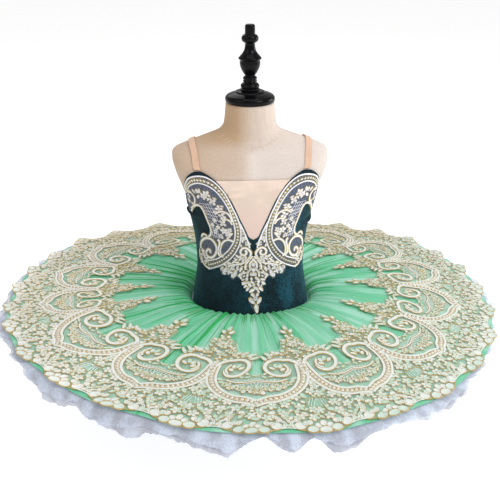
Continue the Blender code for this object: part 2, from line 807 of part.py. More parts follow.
def bodice_lace():
    """The scroll of lace over each cup and the drop below the plunge, raised on the velvet."""
    cup = [(turn * MM_PER_TURN, height) for turn, height in CUP_OUTLINE]
    gaps = [bent_oval(*gap) for gap in CUP_GAPS]
    drop = DROP_OUTLINE + tuple((-x, height) for x, height in reversed(DROP_OUTLINE[1:-1]))
    top, tip = DROP_OUTLINE[0][1], DROP_OUTLINE[-1][1]
    drop = [(x + DROP_LEAN * (top - height) / (top - tip), height) for x, height in drop]
    pieces = (("cup_lace_left", cup, gaps, 1), ("cup_lace_right", cup, gaps, -1), ("lace_drop", drop, [], 1))
    for name, edge, holes, side in pieces:
        flat, faces = cut_sheet(edge, holes, CUP_LACE_SPACING)
        if side < 0:
            faces = [tuple(reversed(face)) for face in faces]

        def on_velvet(corner, more, side=side):
            height = corner[1] * MM
            out = SKIN_GAP + VELVET + CUP_LACE_LIFT + stand_off(height) + more
            return torso_point(side * corner[0] / MM_PER_TURN, height, out)

        def upper(corner, place=on_velvet):
            return place(corner, LACE_CLOTH)

        sheet_wall(name, flat, faces, lambda c: on_velvet(c, 0), upper, "gold_lace")


def main():
    """Builds the form first, then the dress from the skin outwards."""
    clear_scene()
    form = torso()
    turned("neck_cap", CAP_PROFILE, "black_lacquer")
    turned("finial", FINIAL_PROFILE, "black_lacquer")
    bodice()
    straps(form)
    plate()
    for layer in NET_LAYERS:
        net_layer(*layer)
    lace_border()
    bodice_lace()


main()
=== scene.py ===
"""A child's pancake tutu on a limbless dress form: its looks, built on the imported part.

Metres, +Z up, the front facing -Y and the wearer's left at +X. A turn is an angle in degrees
round the body: 0 at the centre front, 90 at the wearer's left side seam, 180 at the back.
The lace is drawn flat in millimetres: across, along or up, and its height over its ground.
"""

from __future__ import annotations

import json
import logging
import math
from dataclasses import dataclass
from enum import Enum
from typing import Callable, Sequence, Union

import bpy
import numpy as np
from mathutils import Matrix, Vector
from mathutils.geometry import delaunay_2d_cdt

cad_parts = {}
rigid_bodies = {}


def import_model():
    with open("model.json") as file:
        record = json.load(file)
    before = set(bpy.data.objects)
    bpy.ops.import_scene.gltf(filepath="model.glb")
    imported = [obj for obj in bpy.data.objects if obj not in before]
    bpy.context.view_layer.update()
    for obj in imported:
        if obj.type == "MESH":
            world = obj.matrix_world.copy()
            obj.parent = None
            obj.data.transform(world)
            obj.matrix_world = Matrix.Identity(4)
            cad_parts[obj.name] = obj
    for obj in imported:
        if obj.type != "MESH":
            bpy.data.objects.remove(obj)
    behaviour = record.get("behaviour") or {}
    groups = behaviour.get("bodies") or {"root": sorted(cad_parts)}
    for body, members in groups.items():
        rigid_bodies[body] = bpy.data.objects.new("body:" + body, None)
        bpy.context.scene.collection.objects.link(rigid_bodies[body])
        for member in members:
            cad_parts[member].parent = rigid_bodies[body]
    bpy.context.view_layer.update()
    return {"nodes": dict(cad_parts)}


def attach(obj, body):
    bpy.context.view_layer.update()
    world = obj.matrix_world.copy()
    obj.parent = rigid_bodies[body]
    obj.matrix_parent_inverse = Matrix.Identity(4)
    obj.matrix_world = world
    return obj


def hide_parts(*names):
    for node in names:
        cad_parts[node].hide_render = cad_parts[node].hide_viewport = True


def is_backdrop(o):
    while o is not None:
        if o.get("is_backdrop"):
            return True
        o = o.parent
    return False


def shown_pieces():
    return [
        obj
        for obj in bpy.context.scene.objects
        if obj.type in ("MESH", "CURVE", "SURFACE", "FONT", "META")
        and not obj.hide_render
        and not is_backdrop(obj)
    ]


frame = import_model()

LOG = logging.getLogger("tutu")
MM = 0.001

# Sizes that the dress shares with its solids, in metres
JOIN_HEIGHT = 190 * MM
PLATE_RADIUS = 434 * MM
JOIN_RADIUS = 105.6 * MM
SKIN_GAP = 1.3 * MM
VELVET = 1.8 * MM
PLATE_CLOTH = 1.4 * MM
LACE_LIFT = 1.3 * MM
CUP_LIFT = 1.0 * MM
REPEATS = 14
PLEATS = 56

Array = np.ndarray
Pair = tuple[float, float]
Triple = tuple[float, float, float]
Points = Sequence[tuple[float, ...]]
Rows = list[tuple[float, ...]]
Material = bpy.types.Material
Piece = bpy.types.Object
Socket = bpy.types.NodeSocket


# Tables and curves


class SmoothTable:
    """Rows of numbers read in between with no overshoot; the first column drives the rest."""

    def __init__(self, rows: Points) -> None:
        """Works out the slopes at the rows once.

        Args:
            rows: the table, its first column rising.
        """
        table = np.array(rows, float)
        self.xs, self.ys = table[:, 0], table[:, 1:]
        self.steps = np.diff(self.xs)[:, None]
        slopes = np.diff(self.ys, axis=0) / self.steps
        product = slopes[:-1] * slopes[1:]
        total = np.where(product > 0, slopes[:-1] + slopes[1:], 1.0)
        inner = np.where(product > 0, 2 * product / total, 0.0)
        self.tangents = np.vstack([slopes[:1], inner, slopes[-1:]])

    def at(self, x: Array | float) -> Array:
        """Reads the table.

        Args:
            x: places in the first column.

        Returns:
            The other columns at each place, along the last axis.
        """
        x = np.clip(np.asarray(x, float), self.xs[0], self.xs[-1])
        i = np.clip(np.searchsorted(self.xs, x, side="right") - 1, 0, len(self.xs) - 2)
        step = self.steps[i]
        s = (x[..., None] - self.xs[i][..., None]) / step
        ends = (2 * s**3 - 3 * s**2 + 1) * self.ys[i] + (3 * s**2 - 2 * s**3) * self.ys[i + 1]
        pulls = (s**3 - 2 * s**2 + s) * self.tangents[i] + (s**3 - s**2) * self.tangents[i + 1]
        return ends + step * pulls


def smooth_path(points: Points, spacing: float, held: bool = False) -> Array:
    """A soft curve through points.

    Args:
        points: the places that it passes.
        spacing: about how far apart its new points are.
        held: whether it slows down at its ends, as a turned profile does.

    Returns:
        The curve's points.
    """
    p = np.array(points, float)
    first, last = (p[0], p[-1]) if held else (2 * p[0] - p[1], 2 * p[-1] - p[-2])
    p = np.vstack([first, p, last])
    made = []
    for a, b, c, d in zip(p, p[1:], p[2:], p[3:]):
        parts = np.linalg.norm(c - b) / spacing
        count = max(2, int(parts)) if held else max(1, math.ceil(parts))
        t = (np.arange(count) / count)[:, None]
        bend, twist = 2 * a - 5 * b + 4 * c - d, 3 * b - a - 3 * c + d
        made.append(0.5 * (2 * b + (c - a) * t + bend * t**2 + twist * t**3))
    return np.vstack([*made, p[-2][None]])


def spiral(centre: Pair, sizes: Pair, turns: Pair, end: float) -> list[Pair]:
    """A scroll that winds inwards.

    Args:
        centre: its middle.
        sizes: its half width and half height at the start.
        turns: the angles in degrees where it starts and ends.
        end: the share of its size that is left at the end.

    Returns:
        Points along it.
    """
    made = []
    steps = max(8, int(abs(turns[1] - turns[0]) / 18))
    for i in range(steps + 1):
        t = i / steps
        size = 1 + (end - 1) * t**1.35
        angle = math.radians(turns[0] + (turns[1] - turns[0]) * t)
        x, y = sizes[0] * size * math.cos(angle), sizes[1] * size * math.sin(angle)
        made.append((centre[0] + x, centre[1] + y))
    return made


def halfway(first: Array, second: Array) -> Array:
    """The line halfway between two paths, each taken at even shares of its length.

    Args:
        first: one path's points.
        second: the other's.

    Returns:
        Sixty points.
    """
    t = np.linspace(0, 1, 60)
    made = np.zeros((60, 2))
    for path in (first, second):
        way = np.append(0, np.cumsum(np.linalg.norm(np.diff(path, axis=0), axis=1)))
        made += 0.5 * np.stack([np.interp(t, way / way[-1], path[:, k]) for k in (0, 1)], -1)
    return made


def within(outline: Points, points: Array) -> Array:
    """Tells which points lie inside an outline.

    Args:
        outline: its corners.
        points: the points, in rows of two.

    Returns:
        One truth value for each point.
    """
    x, y = points[:, 0], points[:, 1]
    found = np.zeros(len(points), bool)
    corners = np.array(outline, float)[:, :2]
    for (ax, ay), (bx, by) in zip(corners, np.roll(corners, -1, axis=0)):
        if ay != by:
            found ^= ((ay > y) != (by > y)) & (x < ax + (y - ay) * (bx - ax) / (by - ay))
    return found


def distance_to(path: Points, points: Array) -> Array:
    """How far points are from a path.

    Args:
        path: the path's points.
        points: the points, in rows of two.

    Returns:
        One distance for each point.
    """
    p = np.array(path, float)
    a, d = p[:-1], np.diff(p, axis=0)
    rel = points[:, None] - a[None]
    t = np.clip((rel * d).sum(2) / np.maximum((d * d).sum(1), 1e-9), 0, 1)
    return np.linalg.norm(rel - t[..., None] * d[None], axis=2).min(1)


# The body's and the plate's shapes, the same as the solids'


@dataclass(frozen=True)
class TorsoShape:
    """The form's sections, in millimetres: height, half width, front and back depth, squareness."""

    sections: Points = (
        (0, 95, 82, 86, 2.3), (6, 99, 86, 90, 2.3), (90, 103.5, 88.5, 93.5, 2.3), (190, 99.3, 84, 86, 2.3),
        (221, 95, 79.5, 80, 2.3), (262, 90.2, 75.5, 76.5, 2.3), (300, 92.3, 77, 79, 2.3),
        (340, 98.5, 80, 82.5, 2.3), (372, 106.5, 82, 85.5, 2.4), (405, 116, 81, 86, 2.6),
        (426, 124, 77, 83, 2.8), (440, 128.5, 71, 78, 3), (452, 131.5, 62.5, 70.5, 3),
        (461, 131.8, 54, 62.5, 2.9), (467, 127.5, 49, 57, 2.7), (473, 115.5, 45.5, 52.5, 2.5),
        (479, 101.5, 43.5, 49.5, 2.3), (485, 86, 42.5, 47.5, 2.2), (491, 69.5, 42, 46, 2.1),
        (499, 52, 41.3, 44, 2), (511, 44, 40.8, 42, 2), (545, 40.4, 40, 40, 2),
    )
    stand_off_depth: float = 1.4 * MM
    stand_off_from: float = 395 * MM
    stand_off_to: float = 446 * MM

    def point(self, turn: Array, height: Array, out: Array | float = 0.0) -> Array:
        """Points on the torso.

        Args:
            turn: degrees round the body.
            height: metres above the base.
            out: metres outwards from the skin.

        Returns:
            The places, along the last axis.
        """
        turn, height = np.broadcast_arrays(np.asarray(turn, float), np.asarray(height, float))
        half, front, back, power = np.moveaxis(SmoothTable(self.sections).at(height / MM), -1, 0)
        across, ahead = np.sin(np.radians(turn)), np.cos(np.radians(turn))
        depth = np.where(ahead >= 0, front, back) * MM
        half = half * MM
        x = half * np.sign(across) * np.abs(across) ** (2 / power)
        y = -depth * np.sign(ahead) * np.abs(ahead) ** (2 / power)
        nx = np.sign(x) * np.abs(x / half) ** (power - 1) / half
        ny = np.sign(y) * np.abs(y / depth) ** (power - 1) / depth
        long = np.hypot(nx, ny)
        return np.stack([x + out * nx / long, y + out * ny / long, height], axis=-1)

    def stand_off(self, height: Array) -> Array:
        """How far the stiff top of the bodice stands off the chest at these heights."""
        share = (height - self.stand_off_from) / (self.stand_off_to - self.stand_off_from)
        return self.stand_off_depth * np.clip(share, 0, 1) ** 2

    def join_radius(self, turn: Array, height: float) -> Array:
        """The skin's distance from the axis in a direction.

        Args:
            turn: directions from the axis, in degrees.
            height: metres above the base.

        Returns:
            The distances.
        """
        ring = self.point(np.arange(-180, 541, 1.0), height)
        angles = np.degrees(np.unwrap(np.arctan2(ring[:, 0], -ring[:, 1])))
        return np.interp(np.asarray(turn) % 360, angles, np.hypot(ring[:, 0], ring[:, 1]))


@dataclass(frozen=True)
class PlateShape:
    """The skirt's plate, in millimetres: radius, rise above the join and pleat half-depth.

    Its slow waves are rows of count round the plate, depth in millimetres and first crest.
    """

    rings: Points = (
        (105.6, 0, 1.3), (111, 8, 1.9), (126, 15.5, 2.6), (172, 19, 2.2), (235, 15, 1.2), (335, 3, 0.4),
        (434, -7.5, 0.5),
    )
    waves: Points = ((14, 1.8, 0), (4, 3.0, 168), (3, 4.4, -17), (2, 9.0, -152), (1, 8.4, -79))
    waves_start: float = 200 * MM

    def slow_wave(self, turn: Array, radius: Array) -> Array:
        """How far the plate's slow waves lift it at turns and radii.

        Args:
            turn: degrees round the plate.
            radius: metres from the axis.

        Returns:
            Metres.
        """
        share = np.clip((radius - self.waves_start) / (PLATE_RADIUS - self.waves_start), 0, 1)
        lift = sum(depth * np.cos(np.radians(count * turn - first)) for count, depth, first in self.waves)
        return lift * MM * share**1.4

    def middle(self, turn: Array, radius: Array) -> Array:
        """Height of the plate's mean surface at turns and radii."""
        rise = SmoothTable(self.rings).at(radius / MM)[..., 0] * MM
        return JOIN_HEIGHT + rise + self.slow_wave(turn, radius)

    def pleat_depth(self, radius: Array) -> Array:
        """Half the depth of the pleats at radii."""
        return SmoothTable(self.rings).at(radius / MM)[..., 1] * MM

    def crest(self, turn: Array, radius: Array) -> Array:
        """Height of the pleats' crests at turns and radii."""
        return self.middle(turn, radius) + self.pleat_depth(radius) + PLATE_CLOTH / 2


def ring_points(turn: Array, radius: Array, height: Array) -> Array:
    """Places at turns, radii and heights, along the last axis."""
    angle = np.radians(turn)
    return np.stack(np.broadcast_arrays(radius * np.sin(angle), -radius * np.cos(angle), height), axis=-1)


TORSO = TorsoShape()
PLATE = PlateShape()


# Meshes


def add_object(name: str, data: bpy.types.ID) -> Piece:
    """Makes an object and puts it in the scene.

    Args:
        name: its name.
        data: its mesh, light or camera.

    Returns:
        The object.
    """
    made = bpy.data.objects.new(name, data)
    bpy.context.scene.collection.objects.link(made)
    return made


@dataclass
class FlatMesh:
    """Points, faces and point values of a mesh, kept as arrays, with its map corner by corner."""

    points: Array
    corners: Array
    starts: Array
    values: dict[str, Array]
    maps: Array | None = None

    @classmethod
    def read(cls, mesh: bpy.types.Mesh) -> FlatMesh:
        """Reads a mesh and its gold and shade values.

        Args:
            mesh: the mesh.

        Returns:
            The arrays.
        """
        count = len(mesh.vertices)
        points = np.empty(count * 3, np.float32)
        mesh.vertices.foreach_get("co", points)
        corners = np.empty(len(mesh.loops), np.int32)
        mesh.loops.foreach_get("vertex_index", corners)
        starts = np.empty(len(mesh.polygons), np.int32)
        mesh.polygons.foreach_get("loop_start", starts)
        values = {name: np.zeros(count, np.float32) for name in ("gold", "shade")}
        for name, column in values.items():
            if layer := mesh.attributes.get(name):
                layer.data.foreach_get("value", column)
        return cls(points.reshape(-1, 3).astype(float), corners, starts, values)

    @classmethod
    def join(cls, parts: Sequence[FlatMesh]) -> FlatMesh:
        """Makes one mesh of several.

        Args:
            parts: the meshes, with the same point values.

        Returns:
            Their points and faces together.
        """
        sizes = np.cumsum([0] + [len(p.points) for p in parts])
        lengths = np.cumsum([0] + [len(p.corners) for p in parts])
        return cls(
            np.vstack([p.points for p in parts]),
            np.concatenate([p.corners + size for p, size in zip(parts, sizes)]),
            np.concatenate([p.starts + length for p, length in zip(parts, lengths)]),
            {name: np.concatenate([p.values[name] for p in parts]) for name in parts[0].values},
        )

    def moved(self, points: Array, over: bool) -> FlatMesh:
        """Makes a copy with its points elsewhere.

        Args:
            points: the new places.
            over: whether each face's order is reversed.

        Returns:
            The copy.
        """
        corners = self.corners
        if over:
            lengths = np.append(self.starts[1:], len(corners)) - self.starts
            face = np.repeat(np.arange(len(self.starts)), lengths)
            place = np.arange(len(corners)) - self.starts[face]
            corners = corners[self.starts[face] + lengths[face] - 1 - place]
        values = {key: column.copy() for key, column in self.values.items()}
        return FlatMesh(points, corners, self.starts, values)

    def add(self, faces: Sequence[Sequence[int]]) -> None:
        """Adds faces between points that are there.

        Args:
            faces: each face's points, by number.
        """
        for face in faces:
            self.starts = np.append(self.starts, len(self.corners))
            self.corners = np.append(self.corners, face)

    def build(self, name: str, finish: Material) -> Piece:
        """Makes the object, shaded smooth.

        Args:
            name: the piece's name.
            finish: its material.

        Returns:
            The object, linked to the scene.
        """
        mesh = bpy.data.meshes.new(name)
        mesh.vertices.add(len(self.points))
        mesh.vertices.foreach_set("co", self.points.astype(np.float32).ravel())
        mesh.loops.add(len(self.corners))
        mesh.loops.foreach_set("vertex_index", self.corners.astype(np.int32))
        mesh.polygons.add(len(self.starts))
        mesh.polygons.foreach_set("loop_start", self.starts.astype(np.int32))
        for key, column in self.values.items():
            mesh.attributes.new(key, "FLOAT", "POINT").data.foreach_set("value", column.astype(np.float32))
        mesh.update(calc_edges=True)
        mesh.validate()
        if self.maps is not None:
            mesh.uv_layers.new(name="cloth").data.foreach_set("uv", self.maps.astype(np.float32).ravel())
        mesh.materials.append(finish)
        mesh.shade_smooth()
        return add_object(name, mesh)


def grid_mesh(points: Array, closed: bool = False, looped: bool = False, uv: Array | None = None) -> FlatMesh:
    """A sheet through rows and columns of points.

    Args:
        points: the places, as rows by columns by three.
        closed: whether the last column joins the first.
        looped: whether the last row joins the first.
        uv: a pair of map numbers for each place, with one column more.

    Returns:
        The mesh, its faces turned over where it is looped or has a map.
    """
    rows, columns = points.shape[:2]
    tall, wide = rows if looped else rows - 1, columns if closed else columns - 1
    i, j = np.meshgrid(np.arange(tall), np.arange(wide), indexing="ij")
    around = [(i, j), (i, j + 1), (i + 1, j + 1), (i + 1, j)]
    if looped or uv is not None:
        around.reverse()
    quads = np.stack([a % rows * columns + b % columns for a, b in around], -1).reshape(-1, 4)
    flat = FlatMesh(points.reshape(-1, 3), quads.ravel(), np.arange(len(quads)) * 4, {})
    if uv is not None:
        flat.maps = np.stack([uv[a, b] for a, b in around], 2)
    return flat


def capped_mesh(points: Array) -> FlatMesh:
    """A closed solid of rings of points, its first and last ring filled.

    Args:
        points: the places, as rings by columns by three.

    Returns:
        The solid.
    """
    rows, columns = points.shape[:2]
    flat = grid_mesh(points, closed=True)
    flat.add([range(columns)[::-1], range((rows - 1) * columns, rows * columns)])
    return flat


def wall_rows(inner: Array, outer: Array, rounding: int = 0) -> Array:
    """Joins an inner and an outer grid into one closed loop of rows, over the top and under the hem.

    Args:
        inner: rows by columns by three, from the hem up.
        outer: the same for the cloth's outside.
        rounding: rows added over the top edge to round it.

    Returns:
        Rows from the inner hem over the top edge to the outer hem.
    """
    a, b = inner[-1], outer[-1]
    cap = []
    lift = np.array([0, 0, 1.0]) * np.linalg.norm(b - a, axis=-1, keepdims=True) * 0.5
    for i in range(1, rounding + 1):
        t = i / (rounding + 1)
        cap.append(a + (b - a) * (0.5 - 0.5 * math.cos(math.pi * t)) + lift * math.sin(math.pi * t))
    return np.concatenate([inner, np.array(cap).reshape(-1, *inner.shape[1:]), outer[::-1]])


def panel_mesh(inner: Array, outer: Array, rounding: int) -> FlatMesh:
    """A cut panel of cloth with its thickness, closed along all of its edges.

    Args:
        inner: rows by columns by three, from the hem up.
        outer: the same for the cloth's outside.
        rounding: rows added over the top edge to round it.

    Returns:
        The panel.
    """
    rows = wall_rows(inner, outer, rounding)
    flat = grid_mesh(rows, looped=True)
    count, columns = rows.shape[:2]
    for column in (0, columns - 1):
        ring = [i * columns + column for i in range(count)]
        low, high = 0, count - 1
        made = []
        while high - low >= 2:
            last = (ring[high - 1], ring[high]) if high - low > 2 else (ring[high],)
            made.append((ring[low], ring[low + 1], *last))
            low, high = low + 1, high - 1
        flat.add(made if column else [face[::-1] for face in made])
    return flat


# Shaders and node trees


Value = Union[float, "Wire"]


def maths(operation: str, turned: bool = False) -> Callable[..., Wire]:
    """A method of a wire that adds a Math node.

    Args:
        operation: what the node does.
        turned: whether the wire itself comes last.

    Returns:
        The method, which takes one other value or none.
    """

    def method(self: Wire, *others: Value) -> Wire:
        """Adds the node and gives its result.

        Args:
            others: the node's further values.

        Returns:
            The result.
        """
        values = (*others, self) if turned else (self, *others)
        node = self.board.node("ShaderNodeMath", {"operation": operation}, dict(enumerate(values)))
        return self.board.out(node)

    return method


class Wire:
    """A shader socket that takes part in Python arithmetic."""

    def __init__(self, board: Board, socket: Socket) -> None:
        """Keeps the socket and the board that it is on."""
        self.board, self.socket = board, socket

    __add__ = __radd__ = maths("ADD")
    __sub__, __rsub__ = maths("SUBTRACT"), maths("SUBTRACT", turned=True)
    __mul__ = __rmul__ = maths("MULTIPLY")
    __truediv__, __pow__ = maths("DIVIDE"), maths("POWER")
    fraction, floor = maths("FRACT"), maths("FLOOR")
    absolute, wave = maths("ABSOLUTE"), maths("SINE")

    def step(self, low: float, high: float) -> Wire:
        """Changes softly from one value to another.

        Args:
            low: where it is 0.
            high: where it is 1, which may be the lower of the two.

        Returns:
            The share, from 0 to 1.
        """
        settings = {"interpolation_type": "SMOOTHSTEP"}
        inputs = {"Value": self, "From Min": min(low, high), "From Max": max(low, high)}
        made = self.board.out(self.board.node("ShaderNodeMapRange", settings, inputs))
        return 1.0 - made if low > high else made


class Tree:
    """A node tree that is filled in, a call for each node."""

    tree: bpy.types.NodeTree

    def node(self, kind: str, settings: dict | None = None, inputs: dict | None = None) -> bpy.types.Node:
        """Adds a node.

        Args:
            kind: the node's type.
            settings: its properties, such as a Math node's operation.
            inputs: values, wires, sockets or nodes for its sockets, by name or number.

        Returns:
            The node.
        """
        made = self.tree.nodes.new(kind)
        for key, value in (settings or {}).items():
            setattr(made, key, value)
        for key, value in (inputs or {}).items():
            self.feed(made.inputs[key], value)
        return made

    def feed(self, socket: Socket, value: object) -> None:
        """Sets a socket to a value, or links something to it.

        Args:
            socket: the socket.
            value: a value, a wire, a socket, or a node whose first output is meant.
        """
        if isinstance(value, Wire):
            value = value.socket
        elif isinstance(value, bpy.types.Node):
            value = value.outputs[0]
        if isinstance(value, Socket):
            self.tree.links.new(value, socket)
        elif isinstance(value, tuple) and len(value) == 3 and socket.type == "RGBA":
            socket.default_value = (*value, 1.0)
        else:
            socket.default_value = value


class Board(Tree):
    """A material's node tree, with its Principled shader and its output."""

    def __init__(self, name: str) -> None:
        """Starts a material with only its shader and output.

        Args:
            name: the material's name.
        """
        self.material = bpy.data.materials.new(name)
        self.material.use_nodes = True
        self.tree = self.material.node_tree
        self.shader = self.tree.nodes["Principled BSDF"]

    def out(self, node: bpy.types.Node, name: str | int = 0) -> Wire:
        """One of a node's outputs as a wire."""
        return Wire(self, node.outputs[name])

    def place(self, kind: str = "Object") -> Wire:
        """The texture coordinates of a kind."""
        return self.out(self.node("ShaderNodeTexCoord"), kind)

    def parts(self, vector: Wire) -> tuple[Wire, Wire, Wire]:
        """A vector's three numbers."""
        made = self.node("ShaderNodeSeparateXYZ", None, {0: vector})
        return self.out(made, 0), self.out(made, 1), self.out(made, 2)

    def value(self, name: str) -> Wire:
        """A point attribute of the piece."""
        return self.out(self.node("ShaderNodeAttribute", {"attribute_name": name}), "Fac")

    def noise(self, where: Wire, scale: float, detail: float = 2.0, rough: float = 0.5) -> Wire:
        """Soft noise from 0 to 1."""
        inputs = {"Vector": where, "Scale": scale, "Detail": detail, "Roughness": rough}
        return self.out(self.node("ShaderNodeTexNoise", None, inputs))

    def cells(self, where: Wire, scale: float, **settings: object) -> Wire:
        """The distance to a cell's point, or to its edge, in a field of cells."""
        return self.out(self.node("ShaderNodeTexVoronoi", settings, {"Vector": where, "Scale": scale}))

    def stretched(self, where: Wire, by: Triple) -> Wire:
        """Coordinates scaled axis by axis."""
        return self.out(self.node("ShaderNodeVectorMath", {"operation": "MULTIPLY"}, {0: where, 1: by}))

    def mix(self, share: Value, first: object, second: object) -> Wire:
        """A colour between two, by a share."""
        return self.out(self.node("ShaderNodeMix", {"data_type": "RGBA"}, {0: share, 6: first, 7: second}), 2)

    def bump(self, height: Wire, depth: float, strength: float = 1.0) -> None:
        """Feeds a height into the shader's Normal."""
        inputs = {"Height": height, "Distance": depth, "Strength": strength}
        self.feed(self.shader.inputs["Normal"], self.node("ShaderNodeBump", None, inputs))

    def set(self, **sockets: object) -> None:
        """Sets the shader's sockets, named with _ for a space."""
        for key, value in sockets.items():
            self.feed(self.shader.inputs[key.replace("_", " ")], value)


def scaled(colour: Triple, *shares: float) -> Triple:
    """A colour times one share, or each of its parts times its own, no brighter than white."""
    own = shares if len(shares) == 3 else shares * 3
    return tuple(min(1.0, share * part) for share, part in zip(own, colour))


@dataclass(frozen=True)
class VelvetFinish:
    """Crushed velvet, with painted light towards +X and painted shade towards -X, down near the waist and
    under the arms; darker still at its top edge.
    """

    deep: Triple = (0.004, 0.013, 0.020)
    light: Triple = (0.016, 0.100, 0.150)

    def build(self) -> Material:
        """Makes the material.

        Returns:
            The material.
        """
        b = Board("crushed_velvet")
        where = b.place()
        crush = b.noise(where, 430.0, 3.0, 0.75)
        patch = b.noise(b.stretched(where, (1.0, 1.0, 0.6)), 34.0, 4.0, 0.6)
        x, _, z = b.parts(where)
        # painted light and shade: lighter towards +X, darker towards -X, and painted shadow down towards the
        # waist join
        turned = (x.step(-0.085, 0.085) * 1.2 + 0.4) * (z.step(0.186, 0.232) * 0.55 + 0.45)
        # painted shade under the arms, at the sides above 320 mm
        hidden = z.step(0.32, 0.35) * x.absolute().step(0.065, 0.09) * 0.6
        tufts = crush * 0.6 + patch * 0.4
        # the crush's own mottling, times the painted light and shade, and darker at the top edge
        crush_and_painted_shade = tufts.step(0.42, 0.66) * turned * (1.0 - hidden) * (1.0 - z.step(0.41, 0.44) * 0.4)
        b.set(Base_Color=b.mix(crush_and_painted_shade, self.deep, self.light))
        b.set(Roughness=0.8, Sheen_Weight=0.36, Sheen_Roughness=0.3, Sheen_Tint=(0.12, 0.62, 0.66))
        b.set(Specular_IOR_Level=0.25)
        b.bump(tufts, 0.0016, 0.8)
        return b.material


@dataclass(frozen=True)
class TulleFinish:
    """Green tulle gathered on a seam: dark where its folds lie on each other, partly the doubled tulle and
    partly painted shade in the folds, mint between, with a painted highlight on each pleat's crown.
    """

    fold: Triple = (0.012, 0.42, 0.090)
    ground: Triple = (0.15, 0.62, 0.35)
    light: Triple = (0.42, 0.80, 0.63)

    @staticmethod
    def family(b: Board, across: Wire, along: Wire, count: float, width: float, reach: float) -> Wire:
        """Fold lines that run outwards from the seam, each with its own strength and length.

        Args:
            b: the board.
            across: the place round the plate, from 0 to 1.
            along: the place outwards, from 0 to 1.
            count: how many lines.
            width: a line's width, as a share of the way to the next.
            reach: the longest line's length.

        Returns:
            Their darkness, from 0 to 1.
        """
        drift = (b.noise(b.stretched(b.place("UV"), (9.0, 2.5, 0.0)), 1.0 + count * 0.01, 1.0) - 0.5) * 0.02
        place = (across + drift * along) * count
        phase = place.fraction()
        own = b.node("ShaderNodeTexWhiteNoise", {"noise_dimensions": "1D"}, {"W": place.floor() + count})
        strong = b.out(own, 0)
        fade = (along / (strong * reach + 0.06)).step(1.15, 0.45)
        reached = strong**2.0 * width * 2.0 + width * 0.4
        line = (phase / reached).step(1.0, 0.1) + ((1.0 - phase) / reached).step(0.35, 0.0)
        return line * fade * (strong**2.0 * 1.3 + 0.14)

    def build(self) -> Material:
        """Makes the material. The map's first number runs round the plate, its second outwards.

        Returns:
            The material.
        """
        b = Board("gathered_green_tulle")
        across, along, _ = b.parts(b.place("UV"))
        lines = self.family(b, across, along, float(PLEATS), 0.10, 1.0)
        lines = lines + self.family(b, across, along, PLEATS * 2.0, 0.10, 0.45) * 0.8
        lines = lines + self.family(b, across, along, PLEATS * 5.0, 0.35, 0.14) * 0.7
        phase = (across * float(PLEATS)).fraction()
        wide = b.noise(b.stretched(b.place("UV"), (46.0, 2.0, 0.0)), 1.0, 2.0)
        where = b.place()
        grain = b.noise(where, 1100.0, 1.0)
        # painted highlight on each pleat's crown
        crown = phase.step(0.15, 0.5) * phase.step(1.0, 0.7) * 0.6 + 0.4
        pale = crown * wide.step(0.3, 0.68) + (grain - 0.5) * 0.5
        ground = b.mix(pale.step(0.0, 1.0), self.ground, self.light)
        x, y, _ = b.parts(where)
        # painted shade: the fold lines darker at the sides, most towards -X, and at the back
        sides = x.step(0.1, -0.2) * 0.6 + x.absolute().step(0.08, 0.2) * 0.5
        painted_side_and_back_shade = sides + y.step(-0.05, 0.15) * 0.6 + 0.75
        # and painted shade in the folds near the waist
        lines = lines * painted_side_and_back_shade * (along.step(0.28, 0.03) * 0.7 + 1.0)
        b.set(Base_Color=b.mix(lines.step(0.02, 0.7), ground, self.fold), Roughness=0.62)
        b.set(Sheen_Weight=0.1, Sheen_Roughness=0.4)
        mesh = b.cells(where, 620.0, feature="DISTANCE_TO_EDGE")
        b.bump(mesh.step(0.0, 0.2) - lines * 0.6, 0.0005, 0.5)
        return b.material


@dataclass(frozen=True)
class NetFinish:
    """Stiff white net, see-through between its threads, with painted shade in its folds and towards -X, and
    an emission of its own colour that lightens the shade under the plate.
    """

    name: str
    light: Triple
    shade: Triple
    shift: float
    cover: float = 0.9

    def build(self) -> Material:
        """Makes the material.

        Returns:
            The material.
        """
        b = Board(self.name)
        where = b.place()
        x, _, _ = b.parts(where)
        cloud = b.noise(where, 24.0, 3.0)
        crease = b.noise(b.stretched(b.place("UV"), (120.0 + self.shift, 4.0, 0.0)), 1.0, 2.0)
        fine = b.noise(b.stretched(b.place("UV"), (420.0 - self.shift, 6.0, 0.0)), 1.0, 2.0)
        bearing = b.parts(b.place("UV"))[0] * 6.28319
        fold = (bearing * 70.0 + (bearing * 9.0).wave() * 2.5 + 1.0).wave()
        # painted shade in the net's folds
        painted_fold_shade = cloud * 0.2 + crease * 0.5 + fine * 0.2 + fold * 0.07
        # and painted shade towards -X
        side = painted_fold_shade.step(0.34, 0.54) * 0.75 + x.step(-0.4, 0.05) * 0.25
        dots = b.cells(where, 480.0)
        tone = b.mix(side, self.shade, self.light)
        b.set(Base_Color=tone, Roughness=0.7)
        b.set(Alpha=(crease * 0.35 + 0.8) * self.cover - dots.step(0.3, 0.65) * 0.2)
        # painted light: the net gives off its own colour, so the plate's shadow on it is lighter
        b.set(Emission_Color=tone, Emission_Strength=0.3)
        b.bump(crease * 0.7 + dots * 0.3, 0.0015, 0.5)
        return b.material


@dataclass(frozen=True)
class GroundFinish:
    """The lace's fine net ground, over another cloth."""

    name: str
    thread: Triple
    cover: float

    def build(self) -> Material:
        """Makes the material.

        Returns:
            The material.
        """
        b = Board(self.name)
        where = b.place()
        cells = b.cells(where, 560.0, feature="DISTANCE_TO_EDGE")
        cloud = b.noise(where, 60.0, 2.0)
        threads = cells.step(0.14, 0.02)
        b.set(Base_Color=self.thread, Roughness=0.6)
        b.set(Alpha=(threads * 0.5 + 0.75) * (cloud * 0.4 + 0.8) * self.cover)
        return b.material


